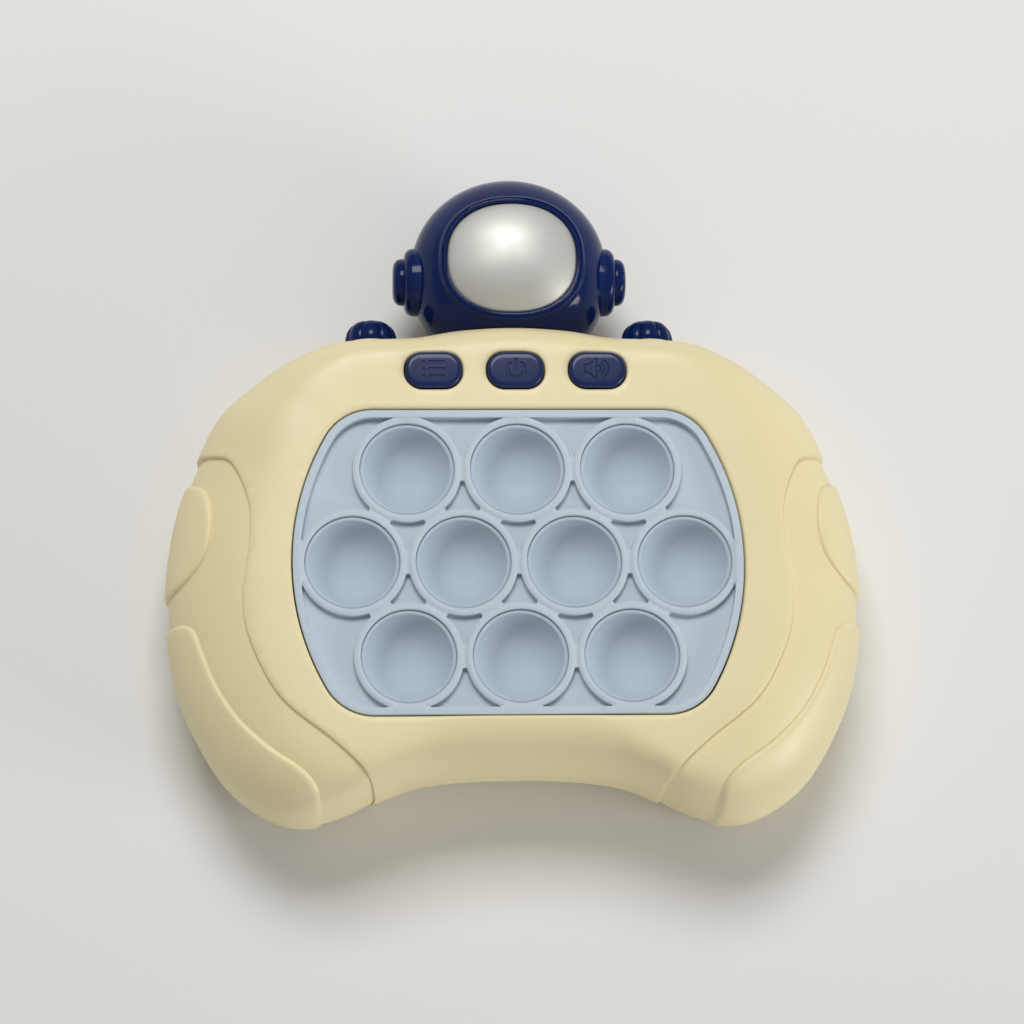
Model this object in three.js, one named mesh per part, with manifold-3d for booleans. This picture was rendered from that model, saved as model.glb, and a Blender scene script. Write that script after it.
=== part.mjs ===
// Handheld push-bubble reaction game, lying on its back.
// Millimetres, +Z up out of the bubble panel, +Y towards the helmet.
import * as THREE from "three";
import { mergeVertices } from "three/addons/utils/BufferGeometryUtils.js";
import Module from "manifold-3d";

const wasm = await Module();
wasm.setup();

// Case
const caseWidth = 166.6;
const caseLength = 121;
const caseThickness = 40;
const partingShare = 0.45;
const partingHeight = caseThickness * partingShare;
const sideShoulderRun = 29;
const rearShoulderRun = 9;
const gripStep = 1;
const coverWall = 2.2;
const fitGap = 0.3;
const cutOverrun = 4;
// Right half of the case outline from the helmet collar round to the middle of the lower edge:
// share of half the width, share of the length, share of the side shoulder's run.
const outlineShares = [
  [0, 0.509, 0.28],
  [0.157, 0.5025, 0.28],
  [0.29, 0.487, 0.28],
  [0.41, 0.4825, 0.28],
  [0.535, 0.4735, 0.31],
  [0.66, 0.439, 0.42],
  [0.768, 0.387, 0.6],
  [0.852, 0.331, 0.78],
  [0.914, 0.243, 0.92],
  [0.971, 0.132, 1],
  [0.9975, 0.0165, 1],
  [0.999, -0.091, 1],
  [0.972, -0.2065, 0.97],
  [0.917, -0.306, 0.92],
  [0.826, -0.4065, 0.86],
  [0.718, -0.465, 0.78],
  [0.615, -0.4855, 0.66],
  [0.507, -0.471, 0.5],
  [0.405, -0.441, 0.42],
  [0.29, -0.415, 0.4],
  [0.145, -0.405, 0.4],
  [0, -0.404, 0.4],
];
// Edges of the raised areas on the right side, as shares of half the width and of the length.
const panelEdgeShares = [
  [0.95, 0.245],
  [0.862, 0.231],
  [0.808, 0.207],
  [0.762, 0.124],
  [0.76, 0.04],
  [0.778, -0.066],
  [0.754, -0.157],
  [0.67, -0.265],
  [0.528, -0.347],
  [0.446, -0.401],
  [0.405, -0.446],
  [0.375, -0.51],
];
const knucklePadShares = [
  [1.03, 0.24],
  [0.94, 0.193],
  [0.885, 0.158],
  [0.868, 0.09],
  [0.882, 0.03],
  [0.93, -0.012],
  [0.985, -0.037],
  [1.07, -0.056],
];
const lowerPadShares = [
  [1.07, -0.105],
  [0.97, -0.102],
  [0.922, -0.117],
  [0.897, -0.157],
  [0.856, -0.227],
  [0.79, -0.298],
  [0.7, -0.358],
  [0.62, -0.397],
  [0.576, -0.432],
  [0.564, -0.471],
  [0.56, -0.55],
];
const outlineSteps = 42;
const frontSteps = 4;
const rearSteps = 3;
const insideSteps = 3;
const edgeSteps = 10;

// Bubble panel
const bubblePitchShare = 0.21488;
const bubblePitch = caseLength * bubblePitchShare;
const bubbleRowCounts = [3, 4, 3];
// The opening, the rings and the bowls grow with the distance between the bubbles.
const openingHalfWidth = bubblePitch * 2.05;
const openingHalfHeight = bubblePitch * 1.4154;
const openingSideRadius = bubblePitch * 2.385;
const openingCornerRadius = bubblePitch / 2;
const matRimDrop = 0.3;
const matRimWidth = 2;
const matSheetThickness = 1.3;
const matFlangeWidth = 2.8;
const matFloorRecess = 1.9;
const ringDrop = 0.5;
const ringHoleRadius = bubblePitch * 0.4385;
const ringWall = 1.2;
const webWidth = 6;
const lipDrop = 0.7;
const lipHeight = 1.6;
const bowlRadius = bubblePitch * 0.3846;
const bowlDepth = caseThickness * 0.155;
const bowlWall = 0.8;
const ringSteps = 12;
const roundSteps = 14;
const bowlSteps = 2;

// Keys, key tray and main board
const keyTravel = caseThickness * 0.0625;
const keyHeadRadius = 5.5;
const keyHeadHeight = 1.3;
const keyStemRadius = 3;
const keySteps = 8;
const trayFloor = 1.5;
const trayWall = 1.5;
const boardThickness = 1.6;
const boardInset = 1;
const boardPostX = openingHalfWidth * 0.9756;
const boardPostY = openingHalfHeight * 0.8424;
const boardPostRadius = 3;
const boardEarWidth = 8;
const lampSize = 2;
const lampHeight = 1;
const lampOffset = 6;
const chipSize = 12;
const chipHeight = 1.8;
const chipX = 24;

// Function buttons and their switches
const buttonSpacing = 19.5;
const buttonRowGap = 1.2;
const buttonHoleWidth = 14;
const buttonHoleHeight = 9.4;
const buttonHoleCorner = 4.4;
const buttonProud = 0.8;
const buttonCrown = 0.9;
const buttonCrownInset = 1.1;
const buttonFlange = 1.2;
const buttonFlangeThickness = 1.5;
const buttonTravel = 1.2;
const buttonPegRadius = 1.6;
const buttonPegLength = 2;
const switchSize = 6;
const switchHeight = 3.5;
const boardTabWidth = 50;
const boardTabMargin = 1;

// Helmet
const helmetHalfWidth = 23.9;
const helmetHalfLength = 22.2;
const helmetHalfDepth = caseThickness / 2;
const helmetRise = 16.6;
const helmetFootGap = 0.5;
const helmetWall = 2.2;
const helmetSteps = 20;
const helmetRows = 8;
const chinPower = 2.7;
const neckWidth = 34;
const neckDepth = helmetHalfDepth * 0.95;
const neckGap = 1.2;
const neckFlange = 1.6;
const neckFlangeThickness = 1.5;
const visorHalfWidth = 15.8;
const visorHalfHeight = 13.55;
const visorPower = 2.35;
const visorDrop = 1.9;
const visorRecess = 0.8;
const visorThickness = 1.6;
const visorFlange = 1.6;
const visorRoot = 8;
const visorBeadWidth = 1.5;
const visorBeadHeight = 0.7;
const visorSteps = 20;
const earRadius = 7.85;
const earCapRadius = 5.8;
const earReach = 28.55;
const earCapHeight = 2.2;
const earRound = 1;
const earDrop = 3.1;
const earPegRadius = 3;
const earPegDepth = 4;

// Shoulder dials
const dialX = 33.8;
const dialRadius = 6.2;
const dialHeight = 5.7;
const dialGap = 0.5;
const dialLobes = 8;
const dialFluteShare = 0.06;
// Section of the cap from the axis outwards and up: shares of its radius and of its height.
const dialDomeShares = [
  [0, 0],
  [1, 0],
  [1, 0.3],
  [0.86, 0.72],
  [0.5, 0.96],
  [0, 1],
];
const dialStemRadius = 2.4;
const dialStemLength = 7;
const dialClipRadius = 3.8;
const dialClipThickness = 1.6;
const dialCollarRadius = 7.2;
const dialCollarHeight = 0.9;
const dialSteps = 24;

// Rear: cells, door, speaker
const cellRadius = caseThickness * 0.13;
const cellLength = 44.5;
const cellGap = 0.4;
const cellNubRadius = 1.9;
const cellNubLength = 1;
const cellSteps = 12;
const springRoom = 5;
const bayWall = 3;
const bayRoof = 1.5;
const doorThickness = 2.2;
const doorScrewFloor = 0.6;
const doorRecess = 0.4;
const doorLedge = 1.7;
const doorCorner = 3;
const doorTongueWidth = 13;
const doorTongueLength = 8;
const doorTabWidth = 6;
const doorTabReach = 1.5;
const doorTabThickness = 1.2;
const doorTabX = 16;
const doorTabRoom = 2.6;
const doorTabSide = 0.5;
const doorBossRadius = 3.6;
const doorBossHeight = 8;
const doorScrewReach = 3.6;
const doorScrewPlay = 0.75;
const contactThickness = 0.5;
const contactSpringRadius = 2.6;
const contactSpringTipRadius = 1.6;
const speakerRadius = caseLength * 0.1157;
const speakerDepth = 4.5;
const speakerMagnetRadius = 8;
const speakerMagnetDepth = 3;
const speakerY = caseLength * 0.2851;
const speakerGap = 1;
const speakerSeatWall = 1.4;
const speakerSeatHeight = 5;
const grilleSlotWidth = 1.8;
const grillePitch = 4;
const grilleSlotCount = 5;
const grilleRadius = speakerRadius * 0.786;

// Screws
const screwHeadRadius = 2.4;
const screwHeadHeight = 1.3;
const screwShankRadius = 1.25;
const screwCrossWidth = 0.7;
const screwCrossDepth = 0.7;
const screwCrossRadius = 1.6;
const screwSteps = 8;
const postRadius = 3.6;
const wellRadius = 3.2;
const wellDepth = 8;
const wellWall = 1.4;
const wellFloor = 3.2;
const postBite = 7;
const boardScrewBite = 6;
// Shares of half the width and of the length, on the right side.
const caseScrewShares = [
  [0.6, 0.345],
  [0.7, -0.347],
];

// Leads between the boards, the speaker and the cells
const leadRadius = 0.8;
const leadSides = 6;
const leadSteps = 6;

const outlineHalfWidth = caseWidth / 2;
const quarterTurn = Math.PI / 2;
const weldTolerance = 1e-4;

// Heights that follow from the values above
const coverUnderside = caseThickness - gripStep - coverWall;
const matFlangeTop = coverUnderside - fitGap;
const matBottom = matFlangeTop - matSheetThickness;
const matRimTop = caseThickness - matRimDrop;
const matFloorTop = matRimTop - matFloorRecess;
const ringTop = caseThickness - ringDrop;
const lipTop = ringTop - lipDrop;
const bowlBottom = lipTop - bowlDepth - bowlWall;
const trayTop = matBottom - fitGap;
const keyTop = bowlBottom - fitGap;
const keyHeadBottom = keyTop - keyHeadHeight;
const trayFloorTop = keyHeadBottom - keyTravel - fitGap;
const trayBottom = trayFloorTop - trayFloor;
const keyBottom = trayBottom - fitGap / 2;
const boardTop = keyBottom - keyTravel - fitGap;
const boardBottom = boardTop - boardThickness;
const buttonRowY =
  openingHalfHeight + matFlangeWidth + buttonRowGap + buttonFlange + buttonHoleHeight / 2;
const buttonFlangeTop = coverUnderside - fitGap;
const buttonFlangeBottom = buttonFlangeTop - buttonFlangeThickness;
const buttonPegBottom = buttonFlangeBottom - buttonPegLength;
const switchTop = buttonPegBottom - buttonTravel - fitGap;
const boardTabEdge = buttonRowY + switchSize / 2 + boardTabMargin;
const floorTop = gripStep + coverWall;
const collarY = caseLength * outlineShares[0][1];
const helmetCentreZ = helmetHalfDepth + helmetFootGap;
const helmetCentreY = collarY + helmetRise;
const helmetSplitZ = helmetCentreZ;
const visorCentreY = helmetCentreY - visorDrop;
const earCentreY = helmetCentreY - earDrop;
const dialEdgeY = caseLength * outlineShares[3][1];
const doorInner = doorRecess + doorThickness;
const cellPitch = 2 * cellRadius + cellGap;
const platedGap = contactThickness + 2 * fitGap;
const bayLength = cellLength + platedGap + springRoom;
const bayHeight = 3 * cellPitch + cellGap;
const cellCentreZ = doorInner + fitGap + cellGap + cellRadius;
const bayTop = cellCentreZ + cellRadius + cellGap;
const doorLength = bayLength + 2 * doorLedge;
const doorWidth = bayHeight + 2 * doorLedge;
const speakerEdgeY = speakerY - speakerRadius - speakerSeatWall;
const bayCentreY = speakerEdgeY - speakerGap - doorTongueLength - doorWidth / 2;
const doorEdgeY = bayCentreY - doorWidth / 2;
const doorScrewY = bayCentreY + doorWidth / 2 + doorTongueLength - screwHeadRadius - screwShankRadius;
const speakerBottom = floorTop + fitGap;

// Finishes
const finish = (color, roughness, metalness = 0) =>
  new THREE.MeshStandardMaterial({ color, roughness, metalness });
const creamPlastic = finish(0xe6dab0, 0.45);
const navyPlastic = finish(0x1c2458, 0.18);
const silverVisor = finish(0xc9cac4, 0.3, 0.9);
const greyBlueSilicone = finish(0xaabbcb, 0.55);
const frostedKey = finish(0xe8ecee, 0.5);
const whitePlastic = finish(0xdedfdc, 0.5);
const boardGreen = finish(0x1f5a3c, 0.5);
const steel = finish(0xb5b8ba, 0.3, 1);
const cellJacket = finish(0x55585c, 0.4, 0.3);
const speakerBlack = finish(0x202124, 0.6);
const leadRed = finish(0xa82a22, 0.5);

// Geometry helpers
function solidOf(geometry) {
  const bare = geometry.index ? geometry.toNonIndexed() : geometry.clone();
  bare.deleteAttribute("normal");
  bare.deleteAttribute("uv");
  const merged = mergeVertices(bare, weldTolerance);
  const corners = merged.index.array;
  const kept = [];
  for (let i = 0; i < corners.length; i += 3) {
    const [a, b, c] = corners.slice(i, i + 3);
    if (a !== b && b !== c && c !== a) kept.push(a, b, c);
  }
  return new wasm.Manifold(
    new wasm.Mesh({
      numProp: 3,
      vertProperties: merged.attributes.position.array,
      triVerts: new Uint32Array(kept),
    }),
  );
}

function geometryOf(solid) {
  const { numProp, vertProperties, triVerts } = solid.getMesh();
  const positions = new Float32Array((vertProperties.length / numProp) * 3);
  for (let i = 0; i < positions.length / 3; i++) {
    positions.set(vertProperties.subarray(i * numProp, i * numProp + 3), i * 3);
  }
  const indexed = new THREE.BufferGeometry();
  indexed.setAttribute("position", new THREE.BufferAttribute(positions, 3));
  indexed.setIndex(new THREE.BufferAttribute(triVerts, 1));
  const faceted = indexed.toNonIndexed();
  faceted.computeVertexNormals();
  return faceted;
}

const union = (solids) => solids.reduce((sum, next) => sum.add(next));

// A block between two corners.
function block(x0, x1, y0, y1, z0, z1) {
  const box = new THREE.BoxGeometry(x1 - x0, y1 - y0, z1 - z0);
  return solidOf(box.translate((x0 + x1) / 2, (y0 + y1) / 2, (z0 + z1) / 2));
}

// A round rod along Z, from z0 to z1.
function rodZ(radius, z0, z1, x = 0, y = 0, steps = screwSteps) {
  const rod = new THREE.CylinderGeometry(radius, radius, z1 - z0, steps);
  return solidOf(rod.rotateX(quarterTurn).translate(x, y, (z0 + z1) / 2));
}

function rodY(radius, y0, y1, x, z, steps = screwSteps) {
  const rod = new THREE.CylinderGeometry(radius, radius, y1 - y0, steps);
  return solidOf(rod.translate(x, (y0 + y1) / 2, z));
}

function rodX(radius, x0, x1, y, z, steps = screwSteps) {
  const rod = new THREE.CylinderGeometry(radius, radius, x1 - x0, steps);
  return solidOf(rod.rotateZ(quarterTurn).translate((x0 + x1) / 2, y, z));
}

// A turned solid about Z; the profile is a list of [radius, height] from axis to axis.
function turned(profile, steps) {
  const points = profile.map(([r, z]) => new THREE.Vector2(r, z));
  return new THREE.LatheGeometry(points, steps).rotateX(quarterTurn);
}

// A flat outline raised from z0 to z1.
function prism(points, z0, z1) {
  const shape = new THREE.Shape(points);
  const extruded = new THREE.ExtrudeGeometry(shape, { depth: z1 - z0, bevelEnabled: false });
  return solidOf(extruded.translate(0, 0, z0));
}

function roundedRectangle(width, height, corner, steps = 2) {
  const [x, y] = [width / 2 - corner, height / 2 - corner];
  const shape = new THREE.Shape();
  shape.absarc(x, y, corner, 0, quarterTurn);
  shape.absarc(-x, y, corner, quarterTurn, 2 * quarterTurn);
  shape.absarc(-x, -y, corner, 2 * quarterTurn, 3 * quarterTurn);
  shape.absarc(x, -y, corner, 3 * quarterTurn, 4 * quarterTurn);
  return shape.getPoints(steps);
}

const moved = (points, dx, dy) => points.map((p) => new THREE.Vector2(p.x + dx, p.y + dy));

// A closed skin over a stack of rings of equal length, with a fan at each end.
function skin(rings) {
  const count = rings[0].length;
  const vertices = rings.flat();
  const middle = (ring) =>
    ring.reduce((sum, p) => sum.add(p), new THREE.Vector3()).divideScalar(count);
  const first = vertices.push(middle(rings[0])) - 1;
  const last = vertices.push(middle(rings[rings.length - 1])) - 1;
  const index = [];
  for (let i = 0; i < count; i++) {
    const next = (i + 1) % count;
    for (let k = 0; k + 1 < rings.length; k++) {
      const [low, high] = [k * count, (k + 1) * count];
      index.push(low + i, low + next, high + next, low + i, high + next, high + i);
    }
    const top = (rings.length - 1) * count;
    index.push(first, next, i, last, top + i, top + next);
  }
  const geometry = new THREE.BufferGeometry().setFromPoints(vertices);
  geometry.setIndex(index);
  return geometry;
}

// Case form
const outlineCurve = (() => {
  const right = outlineShares.map(
    ([x, y, run]) =>
      new THREE.Vector3(x * outlineHalfWidth, y * caseLength, run * sideShoulderRun),
  );
  const left = right
    .slice(1, -1)
    .reverse()
    .map((p) => new THREE.Vector3(-p.x, p.y, p.z));
  return new THREE.CatmullRomCurve3([...right, ...left].reverse(), true, "centripetal");
})();
const outlinePoints = outlineCurve.getPoints(outlineSteps).slice(0, outlineSteps);

// The whole case as one closed form, taken in by the same amount on every side.
function caseForm(shrink, upSteps = frontSteps, downSteps = rearSteps) {
  const rise = caseThickness - partingHeight - shrink;
  const drop = partingHeight - shrink;
  const ringAt = (turn) => {
    const front = turn >= 0;
    const z = partingHeight + (front ? rise : drop) * Math.sin(turn);
    return outlinePoints.map((p) => {
      const radius = Math.hypot(p.x, p.y);
      const run = front ? p.z : rearShoulderRun;
      const scale = (radius - shrink - run * (1 - Math.cos(turn))) / radius;
      return new THREE.Vector3(p.x * scale, p.y * scale, z);
    });
  };
  const rings = [];
  for (let k = -downSteps; k < 0; k++) rings.push(ringAt((quarterTurn * k) / downSteps));
  for (let k = 0; k <= upSteps; k++) rings.push(ringAt((quarterTurn * k) / upSteps));
  return solidOf(skin(rings));
}

const edgePoints = (shares) =>
  new THREE.SplineCurve(
    shares.map(([x, y]) => new THREE.Vector2(x * outlineHalfWidth, y * caseLength)),
  ).getPoints(edgeSteps);

const mirrored = (points) => points.map((p) => new THREE.Vector2(-p.x, p.y)).reverse();

// The areas that stand one step above the grips: the middle panel and two pads on each side.
function raisedAreas() {
  const [z0, z1] = [-cutOverrun, caseThickness + cutOverrun];
  const farX = outlineHalfWidth + cutOverrun * 3;
  const farY = caseLength / 2 + cutOverrun * 3;
  const edge = edgePoints(panelEdgeShares);
  const first = edge[0];
  const last = edge[edge.length - 1];
  const panelRight = [
    new THREE.Vector2(0, farY),
    new THREE.Vector2(farX, farY),
    new THREE.Vector2(farX, first.y),
    ...edge,
    new THREE.Vector2(last.x, -farY),
    new THREE.Vector2(0, -farY),
  ];
  const panel = [...panelRight.slice(1, -1), ...mirrored(panelRight.slice(1, -1))];
  const outside = [
    new THREE.Vector2(farX, -farY),
    new THREE.Vector2(farX, caseLength * lowerPadShares[0][1]),
  ];
  const knuckle = edgePoints(knucklePadShares);
  const lowerPad = [...edgePoints(lowerPadShares), ...outside];
  return union(
    [panel, knuckle, mirrored(knuckle), lowerPad, mirrored(lowerPad)].map((area) =>
      prism(area, z0, z1),
    ),
  );
}

// Opening for the bubble mat: two wide side arcs with rounded corners between flat edges.
function openingOutline(grow, steps = 2) {
  const height = openingHalfHeight + grow;
  const side = openingSideRadius + grow;
  const corner = openingCornerRadius + grow;
  const sideX = openingHalfWidth - openingSideRadius;
  const cornerY = height - corner;
  const cornerX = sideX + Math.sqrt((side - corner) ** 2 - cornerY ** 2);
  const lean = Math.atan2(cornerY, cornerX - sideX);
  const halfTurn = 2 * quarterTurn;
  const shape = new THREE.Shape();
  shape.absarc(sideX, 0, side, -lean, lean);
  shape.absarc(cornerX, cornerY, corner, lean, quarterTurn);
  shape.absarc(-cornerX, cornerY, corner, quarterTurn, halfTurn - lean);
  shape.absarc(-sideX, 0, side, halfTurn - lean, halfTurn + lean);
  shape.absarc(-cornerX, -cornerY, corner, halfTurn + lean, 3 * quarterTurn);
  shape.absarc(cornerX, -cornerY, corner, 3 * quarterTurn, 2 * halfTurn - lean);
  return shape.getPoints(steps);
}

// Bubble centres, row by row from the top.
const rowPitch = bubblePitch * Math.sin(Math.PI / 3);
const bubblePlaces = bubbleRowCounts.flatMap((count, row) =>
  Array.from({ length: count }, (_, i) => ({
    x: (i - (count - 1) / 2) * bubblePitch,
    y: ((bubbleRowCounts.length - 1) / 2 - row) * rowPitch,
  })),
);
const buttonPlaces = [-buttonSpacing, 0, buttonSpacing];
const cellPlaces = [-cellPitch, 0, cellPitch].map((dy) => bayCentreY + dy);
const sides = [-1, 1];
const nubSides = [1, -1, 1];
const caseScrews = caseScrewShares.flatMap(([x, y]) =>
  sides.map((side) => ({ x: side * x * outlineHalfWidth, y: y * caseLength })),
);
const boardScrews = sides.flatMap((sx) =>
  sides.map((sy) => ({ x: sx * boardPostX, y: sy * boardPostY })),
);

// Helmet forms
function superPoint(angle, halfWidth, halfHeight, power) {
  const [c, s] = [Math.cos(angle), Math.sin(angle)];
  const reach = (Math.abs(c) ** power + Math.abs(s) ** power) ** (-1 / power);
  return new THREE.Vector2(c * reach * halfWidth, s * reach * halfHeight);
}

// Egg-like helmet body about its own centre: round on top, fuller towards the chin.
function helmetBody(grow) {
  const rings = [];
  for (let k = 1; k < helmetRows; k++) {
    const turn = -quarterTurn + (2 * quarterTurn * k) / helmetRows;
    const ring = [];
    for (let i = 0; i < helmetSteps; i++) {
      const angle = (2 * Math.PI * i) / helmetSteps;
      const power = Math.sin(angle) < 0 ? chinPower : 2;
      const p = superPoint(angle, helmetHalfWidth + grow, helmetHalfLength + grow, power);
      const reach = Math.cos(turn);
      ring.push(
        new THREE.Vector3(
          p.x * reach,
          helmetCentreY + p.y * reach,
          helmetCentreZ + (helmetHalfDepth + grow) * Math.sin(turn),
        ),
      );
    }
    rings.push(ring);
  }
  const poles = [-1, 1].map((side) =>
    rings[0].map(
      () =>
        new THREE.Vector3(0, helmetCentreY, helmetCentreZ + side * (helmetHalfDepth + grow)),
    ),
  );
  return solidOf(skin([poles[0], ...rings, poles[1]]));
}

function visorOutline(grow) {
  const points = [];
  for (let i = 0; i < visorSteps; i++) {
    const angle = (2 * Math.PI * i) / visorSteps;
    const p = superPoint(angle, visorHalfWidth + grow, visorHalfHeight + grow, visorPower);
    points.push(new THREE.Vector2(p.x, p.y + visorCentreY));
  }
  return points;
}

const farFront = caseThickness + cutOverrun * 2;
const visorPrism = (grow) => prism(visorOutline(grow), helmetCentreZ, farFront);

// Neck plug between the helmet and the case, with a flange inside the case wall,
// or the room that the cover leaves for it.
function neck(grow) {
  const width = neckWidth / 2 + grow;
  const depth = neckDepth / 2 + grow;
  const foot = boardTabEdge + neckGap;
  const [low, high] = [helmetSplitZ - depth, helmetSplitZ + depth];
  const shaft = block(-width, width, foot, collarY + cutOverrun, low, high);
  const flangeX = width + neckFlange;
  const flange = block(
    -flangeX,
    flangeX,
    foot,
    foot + neckFlangeThickness + grow,
    low - neckFlange,
    high + neckFlange,
  );
  if (grow > 0) return shaft.add(flange);
  const covered = shaft.intersect(helmetBody(0).add(caseForm(0)));
  return covered.add(flange);
}

// Everything above or below a level.
function above(z) {
  const far = caseWidth + caseLength;
  return block(-far, far, -far, far, z, far);
}

function below(z) {
  const far = caseWidth + caseLength;
  return block(-far, far, -far, far, -far, z);
}

// Cover parts
function coverShell() {
  const grips = caseForm(gripStep);
  const raised = caseForm(0).intersect(raisedAreas());
  return grips.add(raised);
}

const buttonHole = (x, grow) =>
  moved(
    roundedRectangle(
      buttonHoleWidth + 2 * grow,
      buttonHoleHeight + 2 * grow,
      buttonHoleCorner + grow,
    ),
    x,
    buttonRowY,
  );

const dialCollars = () =>
  union(
    sides.map((side) =>
      rodY(
        dialCollarRadius,
        dialEdgeY - coverWall - gripStep,
        dialEdgeY + dialCollarHeight,
        side * dialX,
        partingHeight,
        roundSteps,
      ),
    ),
  );

const dialBores = () =>
  union(
    sides.map((side) =>
      rodY(
        dialStemRadius + fitGap,
        dialEdgeY - dialStemLength - cutOverrun,
        dialEdgeY + cutOverrun,
        side * dialX,
        partingHeight,
      ),
    ),
  );

const insideCover = caseForm(gripStep + coverWall / 2);
const shell = coverShell().add(dialCollars());
const hollow = caseForm(gripStep + coverWall, insideSteps, insideSteps);
const hollowShell = shell.subtract(hollow).subtract(neck(fitGap)).subtract(dialBores());
const postTop = wellDepth + wellFloor + fitGap;

function frontCover() {
  let cover = hollowShell.intersect(above(partingHeight + fitGap / 2));
  const posts = caseScrews.map(({ x, y }) => rodZ(postRadius, postTop, caseThickness, x, y));
  const boardPosts = boardScrews.map(({ x, y }) =>
    rodZ(boardPostRadius, trayFloorTop + fitGap, caseThickness, x, y),
  );
  cover = cover.add(union([...posts, ...boardPosts]).intersect(insideCover));
  const pilot = screwShankRadius + fitGap;
  const pilots = [
    ...caseScrews.map(({ x, y }) => rodZ(pilot, 0, postTop + postBite + fitGap, x, y)),
    ...boardScrews.map(({ x, y }) =>
      rodZ(pilot, 0, trayFloorTop + boardScrewBite + fitGap, x, y),
    ),
  ];
  const top = caseThickness + cutOverrun;
  const holes = [
    prism(openingOutline(0), partingHeight, top),
    prism(openingOutline(matFlangeWidth + fitGap), trayBottom - cutOverrun, matFlangeTop + fitGap),
    ...buttonPlaces.map((x) => prism(buttonHole(x, 0), partingHeight, top)),
    ...buttonPlaces.map((x) =>
      prism(
        buttonHole(x, buttonFlange + fitGap),
        buttonFlangeBottom - buttonTravel - fitGap,
        buttonFlangeTop + fitGap,
      ),
    ),
  ];
  return cover.subtract(union([...pilots, ...holes]));
}

const doorOutline = (grow) => roundedRectangle(doorLength + 2 * grow, doorWidth + 2 * grow, doorCorner);

// The door's plate, or the recess that it lies in.
function doorPlate(grow, z0, z1) {
  const plate = prism(moved(doorOutline(grow), 0, bayCentreY), z0, z1);
  const half = doorTongueWidth / 2 + grow;
  const edge = bayCentreY + doorWidth / 2;
  const tongue = block(-half, half, edge - doorCorner, edge + doorTongueLength + grow, z0, z1);
  return plate.add(tongue);
}

function grille() {
  const slots = [];
  for (let i = 0; i < grilleSlotCount; i++) {
    const dy = (i - (grilleSlotCount - 1) / 2) * grillePitch;
    const half = Math.sqrt(grilleRadius ** 2 - dy ** 2);
    const y = speakerY + dy;
    slots.push(
      block(-half, half, y - grilleSlotWidth / 2, y + grilleSlotWidth / 2, -cutOverrun, floorTop + fitGap),
    );
  }
  return union(slots);
}

function rearCover() {
  let cover = hollowShell.intersect(below(partingHeight - fitGap / 2));
  const wells = caseScrews.map(({ x, y }) =>
    rodZ(wellRadius + wellWall, gripStep, wellDepth + wellFloor, x, y),
  );
  const bayX = bayLength / 2 + bayWall;
  const bayY = bayHeight / 2 + bayWall;
  const bay = block(-bayX, bayX, bayCentreY - bayY, bayCentreY + bayY, gripStep, bayTop + bayRoof);
  const doorBoss = rodZ(doorBossRadius, gripStep, doorBossHeight, 0, doorScrewY);
  const seatTop = floorTop + speakerSeatHeight;
  const seatRadius = speakerRadius + fitGap;
  const seat = rodZ(seatRadius + speakerSeatWall, gripStep, seatTop, 0, speakerY, roundSteps);
  const seatBore = rodZ(seatRadius, floorTop, seatTop + cutOverrun, 0, speakerY, roundSteps);
  cover = cover.add(union([...wells, bay, doorBoss, seat]).intersect(insideCover));
  const ledgeTop = doorInner + fitGap;
  const bayBore = block(
    -bayLength / 2,
    bayLength / 2,
    bayCentreY - bayHeight / 2,
    bayCentreY + bayHeight / 2,
    -cutOverrun,
    bayTop,
  );
  const tabSlots = sides.map((side) => {
    const half = doorTabWidth / 2 + doorTabSide;
    const x = side * doorTabX;
    const reach = doorEdgeY - doorTabReach - fitGap;
    const bottom = doorInner - doorTabThickness / 2 - fitGap;
    return block(x - half, x + half, reach, bayCentreY, bottom, ledgeTop + doorTabRoom);
  });
  const cuts = [
    ...caseScrews.map(({ x, y }) => rodZ(wellRadius, -cutOverrun, wellDepth, x, y)),
    ...caseScrews.map(({ x, y }) => rodZ(screwShankRadius + fitGap, 0, postTop + fitGap, x, y)),
    rodZ(screwShankRadius + doorScrewPlay, 0, doorBossHeight + cutOverrun, 0, doorScrewY),
    doorPlate(fitGap, -cutOverrun, ledgeTop),
    bayBore,
    seatBore,
    grille(),
    ...tabSlots,
  ];
  return cover.subtract(union(cuts));
}

function batteryDoor() {
  const tabZ = doorInner;
  const tabs = sides.map((side) => {
    const x = side * doorTabX;
    return block(
      x - doorTabWidth / 2,
      x + doorTabWidth / 2,
      doorEdgeY - doorTabReach,
      doorEdgeY + doorTabReach * 2,
      tabZ - doorTabThickness / 2,
      tabZ + doorTabThickness,
    );
  });
  const screwSeat = rodZ(
    screwHeadRadius + fitGap,
    -cutOverrun,
    doorInner - doorScrewFloor,
    0,
    doorScrewY,
  );
  const screwHole = rodZ(screwShankRadius + fitGap, -cutOverrun, caseThickness, 0, doorScrewY);
  return union([doorPlate(0, doorRecess, doorInner), ...tabs])
    .subtract(screwSeat)
    .subtract(screwHole);
}

// Pan-head screw pointing up +Z, its head's seat at the given height.
function screw(x, y, seat, tip, crossed = true) {
  const head = seat - screwHeadHeight;
  const profile = [
    [0, head],
    [screwHeadRadius, head + screwHeadHeight * 0.4],
    [screwHeadRadius, seat],
    [screwShankRadius, seat],
    [screwShankRadius, tip - screwShankRadius],
    [0, tip],
  ];
  const body = solidOf(turned(profile, screwSteps).translate(x, y, 0));
  if (!crossed) return body;
  const half = screwCrossWidth / 2;
  const [r, deep] = [screwCrossRadius, head + screwCrossDepth];
  const low = head - cutOverrun;
  const cross = block(x - r, x + r, y - half, y + half, low, deep).add(
    block(x - half, x + half, y - r, y + r, low, deep),
  );
  return body.subtract(cross);
}

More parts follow.
